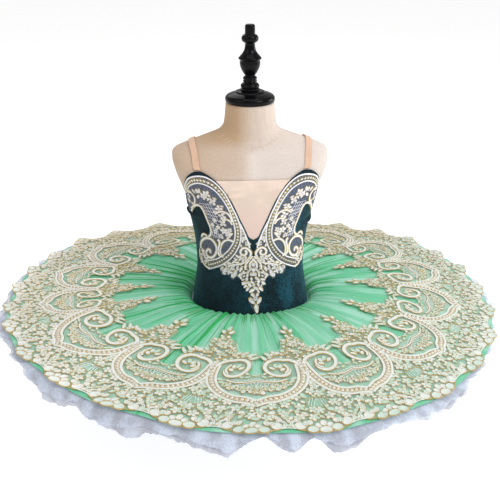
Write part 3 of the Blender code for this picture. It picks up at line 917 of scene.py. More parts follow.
@dataclass(frozen=True)
class CordedFinish:
    """Ivory embroidery with gold cord at its edges, by the gold and shade values of its points; painted light
    far towards -X, painted shade towards the back, and an emission of its own colour towards +X where it is
    given a strength.
    """

    name: str
    ivory: Triple
    filling: Triple
    gold: Triple
    # strength of a painted light that the embroidery gives off towards +X
    painted_glow: float = 0.0

    def build(self) -> Material:
        """Makes the material.

        Returns:
            The material.
        """
        b = Board(self.name)
        where = b.place()
        rim = b.value("gold").step(0.45, 0.85)
        thread = b.noise(where, 1500.0, 1.0)
        patch = b.noise(where, 70.0, 2.0)
        tint = b.noise(where, 380.0, 2.0)
        streak = tint.step(0.38, 0.6) * -0.35 + 0.35
        x, y, _ = b.parts(where)
        # painted light far towards -X: paler ivory, less mint and brighter gold
        far = x.step(-0.12, -0.32)
        filled = b.value("shade").step(0.15, 0.9) * (0.78 - far * 0.25) + streak * (1.0 - far * 0.5)
        body = b.mix(filled, b.mix(far, self.ivory, (0.97, 0.97, 0.94)), self.filling)
        # painted shade towards the back: darker and browner
        body = b.mix(y.step(0.18, 0.34) * 0.4, body, (0.66, 0.53, 0.32))
        deep = scaled(self.gold, 0.82, 0.76, 0.64)
        # a painted highlight on the gold far towards -X
        bright = scaled(self.gold, 1.3)
        metal = b.mix(far * 0.6, b.mix(patch.step(0.3, 0.7), deep, self.gold), bright)
        tone = b.mix(rim, body, metal)
        b.set(Base_Color=tone, Roughness=0.5 - rim * 0.1, Metallic=rim * 0.2)
        if self.painted_glow:
            # painted light: the embroidery gives off its own colour towards +X
            painted_glow_colour = b.mix(x.step(-0.09, 0.07), (0.0, 0.0, 0.0), tone)
            b.set(Emission_Color=painted_glow_colour, Emission_Strength=self.painted_glow)
        b.bump(thread * 0.5 + tint * 0.5, 0.0005, 0.5)
        return b.material


@dataclass(frozen=True)
class BeadFinish:
    """Pearls, gold beads and clear stones, told apart by the gold value."""

    name: str
    pearl: Triple
    gold: Triple
    crystal: Triple

    def build(self) -> Material:
        """Makes the material.

        Returns:
            The material.
        """
        b = Board(self.name)
        kind = b.value("gold")
        tint = b.noise(b.place(), 130.0, 1.0)
        pale = scaled(self.pearl, 0.75)
        clear = b.mix(b.value("shade").step(0.72, 0.78), b.mix(tint, pale, self.pearl), self.crystal)
        b.set(Base_Color=b.mix(kind.step(0.4, 0.6), clear, self.gold))
        b.set(Roughness=0.2 - kind * 0.02, Metallic=kind * 0.45, Coat_Weight=0.5 - kind * 0.2)
        return b.material


@dataclass(frozen=True)
class KnitFinish:
    """Smooth nude stretch cloth or ribbed elastic."""

    name: str
    colour: Triple
    ribs: float

    def build(self) -> Material:
        """Makes the material.

        Returns:
            The material.
        """
        b = Board(self.name)
        where = b.place()
        x, _, z = b.parts(where)
        blush = scaled(self.colour, 1.06, 0.97, 1.05)
        weave = ((x * self.ribs).wave() * 0.5 + 0.5) * ((z * self.ribs * 0.8).wave() * 0.25 + 0.75)
        cloud = b.noise(where, 35.0, 2.0)
        deep = scaled(self.colour, 0.9)
        ground = b.mix(cloud.step(0.3, 0.7), deep, self.colour)
        b.set(Base_Color=b.mix(z.step(0.41, 0.34), ground, blush), Roughness=0.66 + weave * 0.06)
        b.set(Sheen_Weight=0.12)
        b.bump(weave, 0.0002, 0.5)
        return b.material


@dataclass(frozen=True)
class LinenFinish:
    """The form's cream linen, with a woven grain, a few slubs and its sewn lines; painted shade, darker and
    warmer, towards -X, and painted light on the +X half.
    """

    light: Triple = (0.695, 0.60, 0.54)
    deep: Triple = (0.60, 0.495, 0.415)
    aged_and_painted_shade: Triple = (0.60, 0.43, 0.30)

    def build(self) -> Material:
        """Makes the material. The seam value is 1 along the sewn lines.

        Returns:
            The material.
        """
        b = Board("cream_linen")
        where = b.place()
        warp = b.noise(b.stretched(where, (1.0, 1.0, 0.05)), 620.0, 2.0)
        weft = b.noise(b.stretched(where, (0.2, 0.2, 1.0)), 620.0, 2.0)
        cloud = b.noise(where, 14.0, 3.0)
        seam = b.value("seam")
        ground = b.mix(cloud.step(0.1, 0.75), self.deep, self.light)
        grain = (warp * 0.65 + weft * 0.35).step(0.35, 0.65)
        pale = scaled(self.light, 1.16)
        tone = b.mix(grain * 0.75, b.mix(0.14, ground, self.aged_and_painted_shade), pale)
        x, _, z = b.parts(where)
        # painted shade: darker and warmer towards -X; a warmer, darker tone on the neck
        aged_and_painted_shade = x.step(0.02, -0.12) * 0.45 + z.step(0.475, 0.50) * 0.3
        tone = b.mix(aged_and_painted_shade, tone, self.aged_and_painted_shade)
        # painted light: lighter on the +X half, below the neck and on it
        panel = x.step(-0.001, 0.001) * z.step(0.48, 0.47) * 0.45
        panel = panel + x.step(0.0, 0.03) * z.step(0.47, 0.48) * 0.3
        tone = b.mix(panel, tone, (0.79, 0.72, 0.68))
        # painted shade: a warm tan towards -X, most on the neck
        painted_left_shade = x.step(0.004, -0.03) * (z.step(0.42, 0.455) * 0.2 + z.step(0.47, 0.495) * 0.42 + 0.12)
        tone = b.mix(painted_left_shade, tone, (0.46, 0.28, 0.13))
        # the front seam's line is light; the line round the neck is dark, partly its thread and partly
        # painted shadow under the neck
        thread = b.mix(z.step(0.465, 0.475), (0.84, 0.77, 0.71), (0.60, 0.49, 0.38))
        b.set(Base_Color=b.mix(seam * 0.6, tone, thread), Roughness=0.85, Sheen_Weight=0.1)
        b.bump(warp * 0.5 + weft * 0.5 - seam * 0.4, 0.0003, 0.5)
        return b.material


@dataclass(frozen=True)
class LacquerFinish:
    """Gloss black lacquer on turned wood."""

    colour: Triple = (0.003, 0.003, 0.0038)

    def build(self) -> Material:
        """Makes the material.

        Returns:
            The material.
        """
        b = Board("black_lacquer_gloss")
        ripple = b.noise(b.stretched(b.place(), (1.0, 1.0, 3.0)), 60.0, 2.0)
        b.set(Base_Color=self.colour, Roughness=ripple * 0.06 + 0.09, Specular_IOR_Level=0.125)
        b.bump(ripple, 0.0006, 0.12)
        return b.material


# Geometry Nodes that sew the lace


class Recipe(Tree):
    """A Geometry Nodes tree with named inputs, run once on a layout to make a plain mesh."""

    def __init__(self, name: str, **kinds: str) -> None:
        """Starts the tree.

        Args:
            name: the tree's name.
            kinds: the kinds of its inputs, beside its geometry and its material.
        """
        self.tree = bpy.data.node_groups.new(name, "GeometryNodeTree")
        self.tree.is_modifier = True
        face = self.tree.interface
        face.new_socket(name="Geometry", in_out="OUTPUT", socket_type="NodeSocketGeometry")
        self.keys = {}
        for key, kind in {"Geometry": "Geometry", **kinds, "Finish": "Material"}.items():
            made = face.new_socket(name=key, in_out="INPUT", socket_type=f"NodeSocket{kind}")
            self.keys[key] = made.identifier
        self.start = self.tree.nodes.new("NodeGroupInput")
        self.end = self.tree.nodes.new("NodeGroupOutput")

    def given(self, name: str) -> Socket:
        """One of the tree's inputs."""
        return self.start.outputs[name]

    def even(self, step: str) -> bpy.types.Node:
        """The layout's lines as curves, with even points.

        Args:
            step: the name of the input that gives the spacing.

        Returns:
            The node that gives the curves.
        """
        line = self.node("GeometryNodeMeshToCurve", None, {0: self.given("Geometry")})
        inputs = {"Curve": line, "Length": self.given(step)}
        return self.node("GeometryNodeResampleCurve", {"mode": "LENGTH"}, inputs)

    def shape(self, name: str) -> Socket:
        """The geometry of the object that an input names."""
        return self.node("GeometryNodeObjectInfo", None, {"Object": self.given(name)}).outputs["Geometry"]

    def finish(self, geometry: bpy.types.Node) -> None:
        """Ends the tree with its instances made real and its material set.

        Args:
            geometry: the node that gives the geometry.
        """
        real = self.node("GeometryNodeRealizeInstances", None, {0: geometry})
        inputs = {"Geometry": real, "Material": self.given("Finish")}
        self.feed(self.end.inputs[0], self.node("GeometryNodeSetMaterial", None, inputs))

    def run(self, places: Points, edges: Rows, columns: dict[str, Array], values: dict) -> FlatMesh:
        """Runs the tree on a layout, which is then removed.

        Args:
            places: the layout's points, in rows of two.
            edges: the pairs of points that are joined.
            columns: the points' values that the tree reads.
            values: the tree's inputs, by name.

        Returns:
            The result, with its gold and shade values.
        """
        mesh = bpy.data.meshes.new("layout")
        mesh.from_pydata([(x, y, 0.0) for x, y in places], edges, [])
        for key, column in columns.items():
            kind, field = ("FLOAT_VECTOR", "vector") if column.ndim > 1 else ("FLOAT", "value")
            mesh.attributes.new(key, kind, "POINT").data.foreach_set(field, column.astype(np.float32).ravel())
        source = add_object("layout", mesh)
        modifier = source.modifiers.new("recipe", "NODES")
        modifier.node_group = self.tree
        for key, value in values.items():
            modifier[self.keys[key]] = value
        graph = bpy.context.evaluated_depsgraph_get()
        result = bpy.data.meshes.new_from_object(source.evaluated_get(graph))
        made = FlatMesh.read(result)
        bpy.data.meshes.remove(result)
        bpy.data.objects.remove(source)
        return made


class Profile(Enum):
    """Half sections of the lace's cords, from the edge to the middle: across, up and gold value."""

    PADDED = ((0.5, 0, 1), (0.46, 0.6, 1), (0.4, 0.75, 0.1), (0.2, 1, 0))
    RIMMED = ((0.5, 0, 1), (0.44, 0.9, 1), (0.32, 0.95, 1), (0.24, 0.7, 0), (0, 1, 0))
    CORDED = ((0.5, 0, 1), (0.46, 0.8, 1), (0.38, 0.8, 1), (0.32, 0.65, 0), (0, 1, 0))
    RIBBON = ((0.5, 0, 0.68), (0.42, 1, 0.68))
    GOLD = ((0.5, 0, 1), (0.2, 0.9, 1))
    WHITE = ((0.5, 0, 0), (0.2, 0.9, 0))


class LaceKit:
    """The recipes and small shapes that all of the lace is sewn from."""

    BEAD_SQUASH = 0.55

    def __init__(self) -> None:
        """Builds the recipes and the shapes once."""
        self.finish = bpy.data.materials.new("pattern_only")
        self.cords = self._cord_recipe()
        self.rows = self._row_recipe()
        self.sewn = self._sewn_recipe()
        self.profiles = {profile: self._profile(profile) for profile in Profile}
        self.bud = self._petal("bud_shape", 7, 0.69)
        self.blade = self._petal("blade_shape", 7, 0.7, point=0.42)
        self.shell = self._petal("shell_shape", 16, 0.8, ribs=0.4)
        lifts = [math.radians(lift) for lift in (52, 12)]
        self.bead = self._domed("bead_shape", 8, 1.0, [(math.cos(up), math.sin(up), 0.0) for up in lifts])

    @staticmethod
    def _cord_recipe() -> Recipe:
        """Cords of a profile that follow drawn lines, as thick as the lines' radius values say.

        Returns:
            The recipe, which is given a profile and a spacing.
        """
        r = Recipe("corded_lines", Profile="Object", Size="Vector", Step="Float")
        upright = r.node("GeometryNodeSetCurveNormal", {"mode": "Z_UP"}, {0: r.even("Step")})
        inputs = {"Geometry": r.shape("Profile"), "Scale": r.given("Size")}
        profile = r.node("GeometryNodeMeshToCurve", None, {0: r.node("GeometryNodeTransform", None, inputs)})
        r.finish(r.node("GeometryNodeCurveToMesh", None, {"Curve": upright, "Profile Curve": profile}))
        return r

    @staticmethod
    def _row_recipe() -> Recipe:
        """Beads strung along drawn lines, every other one from the first or second.

        Returns:
            The recipe, which is given a bead and a spacing.
        """
        r = Recipe("bead_row", Bead="Object", Size="Vector", Spacing="Float", Odd="Int")
        points = r.node("GeometryNodeCurveToPoints", {"mode": "EVALUATED"}, {0: r.even("Spacing")})
        index = r.node("GeometryNodeInputIndex")
        side = r.node("ShaderNodeMath", {"operation": "MODULO"}, {0: index, 1: 2.0})
        chosen = r.node("ShaderNodeMath", {"operation": "COMPARE"}, {0: side, 1: r.given("Odd"), 2: 0.25})
        inputs = {"Points": points, "Selection": chosen, "Instance": r.shape("Bead")}
        r.finish(r.node("GeometryNodeInstanceOnPoints", None, {**inputs, "Scale": r.given("Size")}))
        return r

    @staticmethod
    def _sewn_recipe() -> Recipe:
        """One small shape sewn on every point, by the points' heading and size values.

        Returns:
            The recipe, which is given the shape.
        """
        r = Recipe("sewn_shapes", Shape="Object", Seed="Int")
        heading = r.node("GeometryNodeInputNamedAttribute", {"data_type": "FLOAT"}, {"Name": "heading"})
        size = r.node("GeometryNodeInputNamedAttribute", {"data_type": "FLOAT_VECTOR"}, {"Name": "size"})
        turned = r.node("ShaderNodeCombineXYZ", None, {"Z": heading})
        rotation = r.node("FunctionNodeEulerToRotation", None, {0: turned})
        points = r.node("GeometryNodeMeshToPoints", None, {0: r.given("Geometry")})
        inputs = {"Points": points, "Instance": r.shape("Shape"), "Rotation": rotation, "Scale": size}
        made = r.node("GeometryNodeInstanceOnPoints", None, inputs)
        chance = r.node("FunctionNodeRandomValue", {"data_type": "FLOAT"}, {"Seed": r.given("Seed")})
        inputs = {"Geometry": made, "Name": "shade", "Value": chance.outputs[1]}
        settings = {"data_type": "FLOAT", "domain": "INSTANCE"}
        r.finish(r.node("GeometryNodeStoreNamedAttribute", settings, inputs))
        return r

    @staticmethod
    def _hidden(name: str, points: Rows, faces: Rows, edges: Rows) -> Piece:
        """A helper object that isn't in the scene.

        Args:
            name: its name.
            points: rows of place and gold value.
            faces: each face's points, by number.
            edges: the pairs of points that are joined.

        Returns:
            The object.
        """
        mesh = bpy.data.meshes.new(name)
        mesh.from_pydata([p[:3] for p in points], edges, faces)
        mesh.attributes.new("gold", "FLOAT", "POINT").data.foreach_set("value", [float(p[3]) for p in points])
        mesh.shade_smooth()
        return bpy.data.objects.new(name, mesh)

    def _profile(self, profile: Profile) -> Piece:
        """A cord's open section.

        Args:
            profile: its half rows, which are mirrored.

        Returns:
            The section's object.
        """
        half = profile.value
        back = [row for row in reversed(half) if row[0]]
        points = [(x, y, 0.0, gold) for x, y, gold in (*((-x, y, gold) for x, y, gold in half), *back)]
        return self._hidden(profile.name.lower(), points, [], [(i, i + 1) for i in range(len(points) - 1)])

    def _domed(
        self, name: str, sides: int, top: float, rings: Rows, point: float = 0.0, ribs: float = 0.0
    ) -> Piece:
        """A low shape of rings round its top, one unit long and wide.

        Args:
            name: the shape's name.
            sides: how many corners it has.
            top: its middle's height.
            rings: each ring's share of the half width, its height and gold value, outwards.
            point: how sharp the far end is.
            ribs: how deep the first ring is fluted.

        Returns:
            The shape.
        """
        points = [(0.0, 0.0, top, 0.0)]
        for ring, (share, height, gold) in enumerate(rings):
            for i in range(sides):
                angle = 2 * math.pi * i / sides
                x, y = math.cos(angle), math.sin(angle)
                y *= 1 - point * max(0.0, x) ** 1.5
                rib = 0.0 if ring else ribs * (i % 2)
                points.append((0.5 * share * x, 0.5 * share * y, height - rib, gold))
        faces = [(0, 1 + i, 1 + (i + 1) % sides) for i in range(sides)]
        for a in range(1, 1 + (len(rings) - 1) * sides, sides):
            b = a + sides
            faces += [(a + i, b + i, b + (i + 1) % sides, a + (i + 1) % sides) for i in range(sides)]
        return self._hidden(name, points, faces, [])

    def _petal(self, name: str, sides: int, inner: float, **form: float) -> Piece:
        """A padded petal with a corded rim, its filling reaching out to an inner share."""
        rings = [(inner, 0.7, 0.0), (0.55 * inner + 0.45, 1.0, 1.0), (1.0, 0.0, 1.0)]
        return self._domed(name, sides, 0.8, rings, **form)

    def draw(
        self, lines: Sequence[Points], profile: Profile, width: float, height: float, step: float = 3.0
    ) -> FlatMesh:
        """Lays cords along lines of the flat pattern.

        Args:
            lines: the lines.
            profile: the cord's section.
            width: its width.
            height: its height.
            step: how far apart its rings are.

        Returns:
            The cords, flat.
        """
        points, edges, radii = [], [], []
        for line in lines:
            first = len(points)
            points += list(line)
            edges += [(i, i + 1) for i in range(first, len(points) - 1)]
            share = np.linspace(0, 1, len(line))
            radii += list(np.clip(np.minimum(share, 1 - share) * 9 + 0.45, 0, 1))
        size = (width, -height, 1.0)
        values = {"Profile": self.profiles[profile], "Size": size, "Step": step, "Finish": self.finish}
        return self.cords.run(points, edges, {"radius": np.array(radii)}, values)

    def string(self, line: Array, size: float, spacing: float, odd: int, gold: float) -> FlatMesh:
        """Strings beads along a line of the flat pattern.

        Args:
            line: the line.
            size: the beads' width.
            spacing: the distance from bead to bead.
            odd: 0 for the first, third and so on, 1 for the others.
            gold: 1 for gold beads and 0 for pearls.

        Returns:
            The beads, flat.
        """
        sizes = (size, size, size * self.BEAD_SQUASH)
        values = {"Bead": self.bead, "Size": sizes, "Spacing": spacing, "Odd": odd, "Finish": self.finish}
        made = self.rows.run(line, [(i, i + 1) for i in range(len(line) - 1)], {}, values)
        made.values["gold"][:] = gold
        return made

    def sew(self, rows: Rows, shape: Piece, seed: int) -> FlatMesh:
        """Sews shapes on the flat pattern.

        Args:
            rows: across, along, length, width, height and heading in degrees of each.
            shape: the shape.
            seed: the seed of their shades.

        Returns:
            The shapes, flat.
        """
        table = np.array(rows, float)
        columns = {"heading": np.radians(table[:, 5]), "size": table[:, 2:5]}
        values = {"Shape": shape, "Seed": seed, "Finish": self.finish}
        return self.sewn.run(table[:, :2], [], columns, values)


def dots(places: Points, size: float, height: float) -> Rows:
    """Beads of one size at places, in rows as LaceKit.sew takes them."""
    return [(x, y, size, size, height, 0.0) for x, y in places]


def flower(x: float, y: float, petals: int, size: float, heading: float, full: float = 1.0) -> Rows:
    """Petals round a flower's middle.

    Args:
        x: across.
        y: along.
        petals: how many.
        size: the flower's radius.
        heading: the first petal's direction in degrees.
        full: how wide its petals are, 1 where they touch.

    Returns:
        A row for each petal, as LaceKit.sew takes it.
    """
    made = []
    for i in range(petals):
        angle = heading + 360 * i / petals
        turn = math.radians(angle)
        reach = 0.52 * size
        wide = 1.32 * full * size * math.sin(math.pi / petals)
        place = (x + reach * math.cos(turn), y + reach * math.sin(turn))
        made.append((*place, 0.95 * size, wide, 0.1 * size + 0.1, angle))
    return made


def spray(places: Array, heart: Pair, size: Triple, swing: float) -> Rows:
    """Leaves that point away from a heart, more or less.

    Args:
        places: their middles, in rows of two.
        heart: the place that they grow from.
        size: their length, width and height.
        swing: how far they stray from the way outwards, in degrees.

    Returns:
        A row for each leaf, as LaceKit.sew takes it.
    """
    made = []
    for i, (x, y) in enumerate(places):
        way = math.degrees(math.atan2(y - heart[1], x - heart[0]))
        grow = 1 + 0.25 * math.sin(4.1 * i)
        made.append((x, y, grow * size[0], grow * size[1], size[2], way + swing * math.sin(2.4 * i)))
    return made


def scatter(outline: Points, spacing: float, seed: int, avoid: Callable | None = None) -> Array:
    """Places strewn evenly but not in rows inside an outline.

    Args:
        outline: the area's corners.
        spacing: the least distance between two places.
        seed: the seed.
        avoid: tells which places are to be left free.

    Returns:
        The places, in rows of two.
    """
    rng = np.random.default_rng(seed)
    corners = np.array(outline, float)
    low, high = corners.min(0), corners.max(0)
    tries = rng.uniform(low, high, (int(np.prod(high - low) / spacing**2 * 14), 2))
    tries = tries[within(outline, tries)]
    if avoid is not None and len(tries):
        tries = tries[~avoid(tries)]
    kept: list[Array] = []
    for place in tries:
        if all(np.hypot(*(place - other)) > spacing for other in kept[-400:]):
            kept.append(place)
    return np.array(kept).reshape(-1, 2)


def settle(slot: str, node: str, piece: Piece, *trims: Piece) -> None:
    """Fixes a piece and its trims on the part's only body.

    Args:
        slot: their material slot; not used.
        node: the solid that the piece stands for.
        piece: the piece.
        trims: what is sewn on it.
    """
    for each in (piece, *trims):
        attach(each, "root")
    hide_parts(node)


class Lace:
    """A lace that is drawn flat and then laid on the dress."""

    SMOOTH = 2.0
    BAND_OUTER: Points = ()
    BAND_INNER: Points = ()

    def __init__(self, kit: LaceKit, ground: Material, corded: Material, beaded: Material) -> None:
        """Args:
            kit: the recipes and shapes.
            ground: the net ground's material.
            corded: the embroidery's material.
            beaded: the beads' material.
        """
        self.kit, self.ground, self.corded, self.beaded = kit, ground, corded, beaded

    def soft(self, *paths: Points) -> list[Array]:
        """Soft curves through paths."""
        return [smooth_path(path, self.SMOOTH) for path in paths]

    def band(self) -> list[Array]:
        """The band's two cords, and the line halfway between them."""
        cords = self.soft(self.BAND_OUTER, self.BAND_INNER)
        return [*cords, halfway(*cords)]

    @staticmethod
    def net(loop: Points, spacing: float, seed: int, clear: float) -> FlatMesh:
        """The net ground inside an outline, flat.

        Args:
            loop: the outline.
            spacing: about how far apart its inner points are.
            seed: their seed.
            clear: how far they keep from the outline.

        Returns:
            The ground.
        """
        inner = scatter(loop, spacing, seed)
        inner = inner[distance_to([*loop, loop[0]], inner) > clear]
        edges = [(i, (i + 1) % len(loop)) for i in range(len(loop))]
        points = [Vector(p) for p in (*loop, *inner)]
        made, _, faces = delaunay_2d_cdt(points, edges, [], 1, 1e-4)[:3]
        flat = np.array([(p.x, p.y, 0.0) for p in made])
        kept = []
        for a, b, c in faces:
            (ux, uy, _), (vx, vy, _) = flat[b] - flat[a], flat[c] - flat[a]
            kept += [a, b, c] if ux * vy > uy * vx else [a, c, b]
        return FlatMesh(flat, np.array(kept), np.arange(len(kept) // 3) * 3, {"gold": np.zeros(len(flat))})

    def shells(self, rows: Rows, seed: int) -> FlatMesh:
        """Fluted shells sewn on the flat pattern, paler than the petals.

        Args:
            rows: the shells, as LaceKit.sew takes them.
            seed: the seed of their shades.

        Returns:
            The shells, flat.
        """
        made = self.kit.sew(rows, self.kit.shell, seed)
        made.values["shade"] *= 0.55
        return made


# The skirt's lace


class SkirtLace(Lace):
    """The wide border: half a repeat laid out flat, then fitted 28 times round the plate.

    Axes are rows of each repeat's turn at its tip and at its edge. Leaves and buds are rows as
    LaceKit.sew takes them, and the other tables are rows of across and along.
    """

    HALF = math.pi / REPEATS
    EDGE_RADIUS = 424.0
    TIP_RADIUS = 172.0
    AXES: Points = (
        (14.2, 10.5), (39, 39.5), (62.4, 68), (90, 92.5), (111.7, 114), (130, 136.5), (160, 161), (190, 189),
        (222.6, 218), (247.7, 242), (270, 263), (284.5, 284.5), (319.5, 313), (346.4, 342),
    )
    INNER_EDGE: Points = (
        (0, 172), (4.5, 178), (4, 186), (10.5, 186.5), (11, 192), (3.5, 199), (4, 206), (12, 210),
        (18.5, 218), (21.5, 229), (24, 238), (36, 242), (45, 246), (47, 255), (53, 265), (55.5, 280),
        (55, 294), (61, 303),
    )
    BAND_OUTER: Points = (
        (-3, 280), (-3, 296), (3, 317), (12, 334), (26, 349), (40, 358), (54, 364), (69, 366.5), (83, 373),
    )
    BAND_INNER: Points = (
        (8, 280), (10, 297), (15, 315), (25, 332), (37, 343), (50, 350), (65, 353), (81, 361),
    )
    VINE: Points = ((31, 324), (40, 331), (48, 330), (57, 336), (66, 334), (74, 341), (35, 320), (80, 338))
    ROSETTES: Points = ((8, 218), (11, 243), (20, 250))
    CLUSTER_AREA: Points = (
        (0.5, 208), (6, 209), (13, 214), (17.5, 222), (19.5, 234), (25, 241), (34, 245), (41, 250), (44, 257),
        (40, 258.5), (30, 258), (20, 261), (10, 267), (0.5, 275),
    )
    VINE_AREA: Points = (
        (30, 318), (38, 325), (48, 326), (60, 330), (70, 329), (85, 333), (85, 344), (72, 346), (62, 341),
        (50, 339), (39, 334), (30, 326),
    )
    FAN_AREA: Points = (
        (0.5, 318), (5, 326), (10, 337), (24, 352), (39, 361), (53, 367.5), (69, 370), (81, 374),
        (401 * HALF - 1, 401), (60, 397), (46, 392), (30, 397), (0.5, 401),
    )
    LEAVES: Points = (
        (6.4, 190.5, 15, 8.6, 0.8, -64), (4.6, 204.5, 11, 6.6, 0.7, -64), (33.5, 246.5, 19, 8.4, 0.7, -50),
        (43.5, 250, 22, 8.4, 0.7, -36), (51, 257.5, 20, 8.2, 0.7, -46), (20.5, 312, 15, 6.4, 0.7, 24),
        (25, 319, 15, 6.4, 0.7, 26), (31, 326, 14, 6, 0.7, 30), (48, 306, 10, 5, 0.7, 200),
        (58, 306.5, 11, 5.4, 0.7, -40), (70, 302.5, 11, 5.4, 0.7, -25), (80, 298, 11, 5.4, 0.7, -50),
    )
    SCROLL_BUDS: Points = (
        (28, 289, 12, 7.4, 1, -140), (29.5, 281.5, 13, 8, 1, -110), (36, 279.5, 14, 8.4, 1, -78),
        (42, 285, 12, 7.4, 1, -40),
    )
    GOLD_STEMS: tuple[Points, ...] = (
        ((0.4, 184), (0.4, 196), (0.4, 212)),
        ((2, 206), (9, 214), (8, 228), (14, 242), (9, 256), (2, 268)),
        ((4, 262), (14, 256), (28, 252), (38, 254), (45, 258)),
        ((14, 212), (17, 224), (13, 236), (18, 250), (14, 262)),
        ((22, 338), (34, 346), (46, 352), (58, 356), (72, 359)),
        ((2, 388), (14, 393), (27, 389), (40, 384), (52, 388), (64, 391), (80, 387)),
    )

    def edge(self, share: Array) -> Array:
        """Radius of the scalloped edge, at a share of the way from mid-repeat to its side."""
        lobe = 426.5 + 7.8 * np.cos(2 * np.pi * share)
        return lobe + 3.0 * (np.abs(np.cos(6 * np.pi * share)) - 0.6) * np.cos(np.pi * share) ** 2

    def edge_point(self, share: float, inset: float) -> Pair:
        """A flat place at a share along the edge, moved inwards."""
        radius = float(self.edge(np.array(share))) - inset
        return share * self.HALF * radius, radius

    def placed(self, flat: Array, repeat: int, mirror: int) -> Array:
        """Fits flat places of the pattern on the plate, with a little of a hand-sewn border's drift.

        Args:
            flat: across, along and height.
            repeat: which repeat.
            mirror: 1 or -1, for its left or right half.

        Returns:
            The places on the dress.
        """
        across, radius, height = flat.T
        share = (radius - self.TIP_RADIUS) / (self.EDGE_RADIUS - self.TIP_RADIUS)
        turns = []
        for step in (-1, 0, 1):
            laps, i = divmod(repeat + step, REPEATS)
            inner, outer = self.AXES[i]
            turns.append(inner + (outer - inner) * share + 360 * laps)
        before, middle, after = turns
        part = across / (self.HALF * radius) * mirror
        turn = middle + 0.5 * np.abs(part) * (np.where(part > 0, after, before) - middle)
        bearing = np.radians(turn)
        calm = 1 - 0.7 * np.clip(share, 0, 1) ** 3
        slide = 2.0 * np.sin(9 * bearing + radius / 27) + 1.4 * np.sin(4 * bearing + radius / 17)
        shift = 1.7 * np.sin(5 * bearing + radius / 31) + 1.2 * np.sin(13 * bearing - radius / 23)
        turn = turn + np.degrees(slide * calm / radius)
        r = (radius + shift * calm) * MM
        lobe = np.cos(2 * np.pi * part)
        behind = 0.7 * (1 - np.cos(bearing)) * np.clip(lobe, 0, 1)
        curl = (4.0 * lobe - 1.5 + behind) * MM * np.clip((radius - 408) / 26, 0, 1) ** 2
        return ring_points(turn, r, PLATE.crest(turn, r) + LACE_LIFT + height * MM + curl)

    def spread(self, flat: FlatMesh, halves: Sequence[int] = (1, -1)) -> FlatMesh:
        """Repeats a flat piece of the pattern all round the plate.

        Args:
            flat: the piece.
            halves: the halves of each repeat that have it.

        Returns:
            All of its copies as one mesh.
        """
        laid = [(repeat, mirror) for repeat in range(REPEATS) for mirror in halves]
        return FlatMesh.join([flat.moved(self.placed(flat.points, *place), place[1] > 0) for place in laid])

    def half_net(self) -> FlatMesh:
        """The net ground of half a repeat, flat, cut along the lace's outer outline.

        Returns:
            The net.
        """
        outline = [*self.INNER_EDGE, *((r * self.HALF, r) for r in (306.0, 330.0, 355.0, 380.0, 402.0))]
        outline += [self.edge_point(1 - i / 48, 0.4) for i in range(49)]
        outline += [(0.0, r) for r in np.arange(408.0, 180.0, -16.0)]
        return self.net(outline, 9.0, 3, 3.5)

    def cords(self) -> FlatMesh:
        """Bands, scrolls, stems, outlines and net threads of half a repeat, flat.

        Returns:
            The cords.
        """
        draw = self.kit.draw
        outer, inner, middle = self.band()
        volute = spiral((33.5, 287), (20.5, 23.5), (240, 240 + 292), 0.66)
        scroll, crescent, stem = self.soft(
            [(1.5, 288), (6.5, 276), (14.5, 268.5), *volute],
            ((27.5, 299), (22.5, 294), (20.6, 286), (24.0, 278)),
            ((29, 313.5), (43, 319), (57, 319.5), (70.6, 316)),
        )
        rims = [np.array([self.edge_point(i / 48, 0.8) for i in part]) for part in (range(20), range(29, 49))]
        notch = np.array([self.edge_point(i / 48, 1.0) for i in range(18, 31)])
        angles = np.linspace(-math.pi / 2, math.pi / 2, 14)
        window = np.array([(16.5 * math.cos(a), 368 + 11 * math.sin(a)) for a in angles])
        threads = [((x, 358.5 + 0.02 * x * x), (x + 5, 378 - 0.02 * x * x)) for x in (1, 5, 9)]
        threads += [((x, 312.5), (x + 9, 328.5)) for x in (40, 45, 50, 55, 60, 65)]
        threads += [((44, 318), (60, 314), (72, 311)), ((44, 325), (60, 322), (73, 318))]
        middles = [self.edge_point(at, 9.5) for at in (0.395, 0.605)]
        loops = [spiral(place, (size, size), (0, 360), 1.0) for place in middles for size in (7.4, 5.2)]
        return FlatMesh.join(
            [
                draw([scroll], Profile.CORDED, 7.4, 1.5),
                draw([crescent], Profile.RIMMED, 5.4, 1.7),
                draw([stem], Profile.RIMMED, 3.8, 1.2),
                draw([outer, inner], Profile.PADDED, 4.3, 1.3),
                draw([middle], Profile.RIBBON, 8.0, 0.5),
                draw([*rims, window, *self.soft(*self.GOLD_STEMS)], Profile.GOLD, 1.4, 0.8),
                draw([notch, *loops], Profile.WHITE, 1.7, 0.9),
                draw(threads, Profile.WHITE, 0.9, 0.6, 5.0),
            ]
        )

    def row(self) -> FlatMesh:
        """The band's pearls and gold beads, of half a repeat, flat.

        Returns:
            The beads.
        """
        string = self.kit.string
        *cords, middle = self.band()
        strings = [string(middle, 5.6, 3.6, 0, 0.0), string(middle, 3.4, 3.6, 1, 1.0)]
        return FlatMesh.join(strings + [string(halfway(middle, cord), 2.2, 3.6, 1, 1.0) for cord in cords])

    def stones(self, half: int) -> FlatMesh:
        """The stones and gold beads strewn over the flowers.

        Args:
            half: which half of the repeat, 0 or 1.

        Returns:
            The beads, flat.
        """
        kit = self.kit
        eyes = dots(self.blooms(half), 3.0, 2.2) + dots(scatter(self.FAN_AREA, 10.0, 11 + half), 2.4, 1.8)
        golden = kit.sew(dots((*self.VINE, *self.ROSETTES), 2.8, 2.2), kit.bead, 4)
        golden.values["gold"][:] = 1.0
        return FlatMesh.join([kit.sew(eyes, kit.bead, 4), golden])

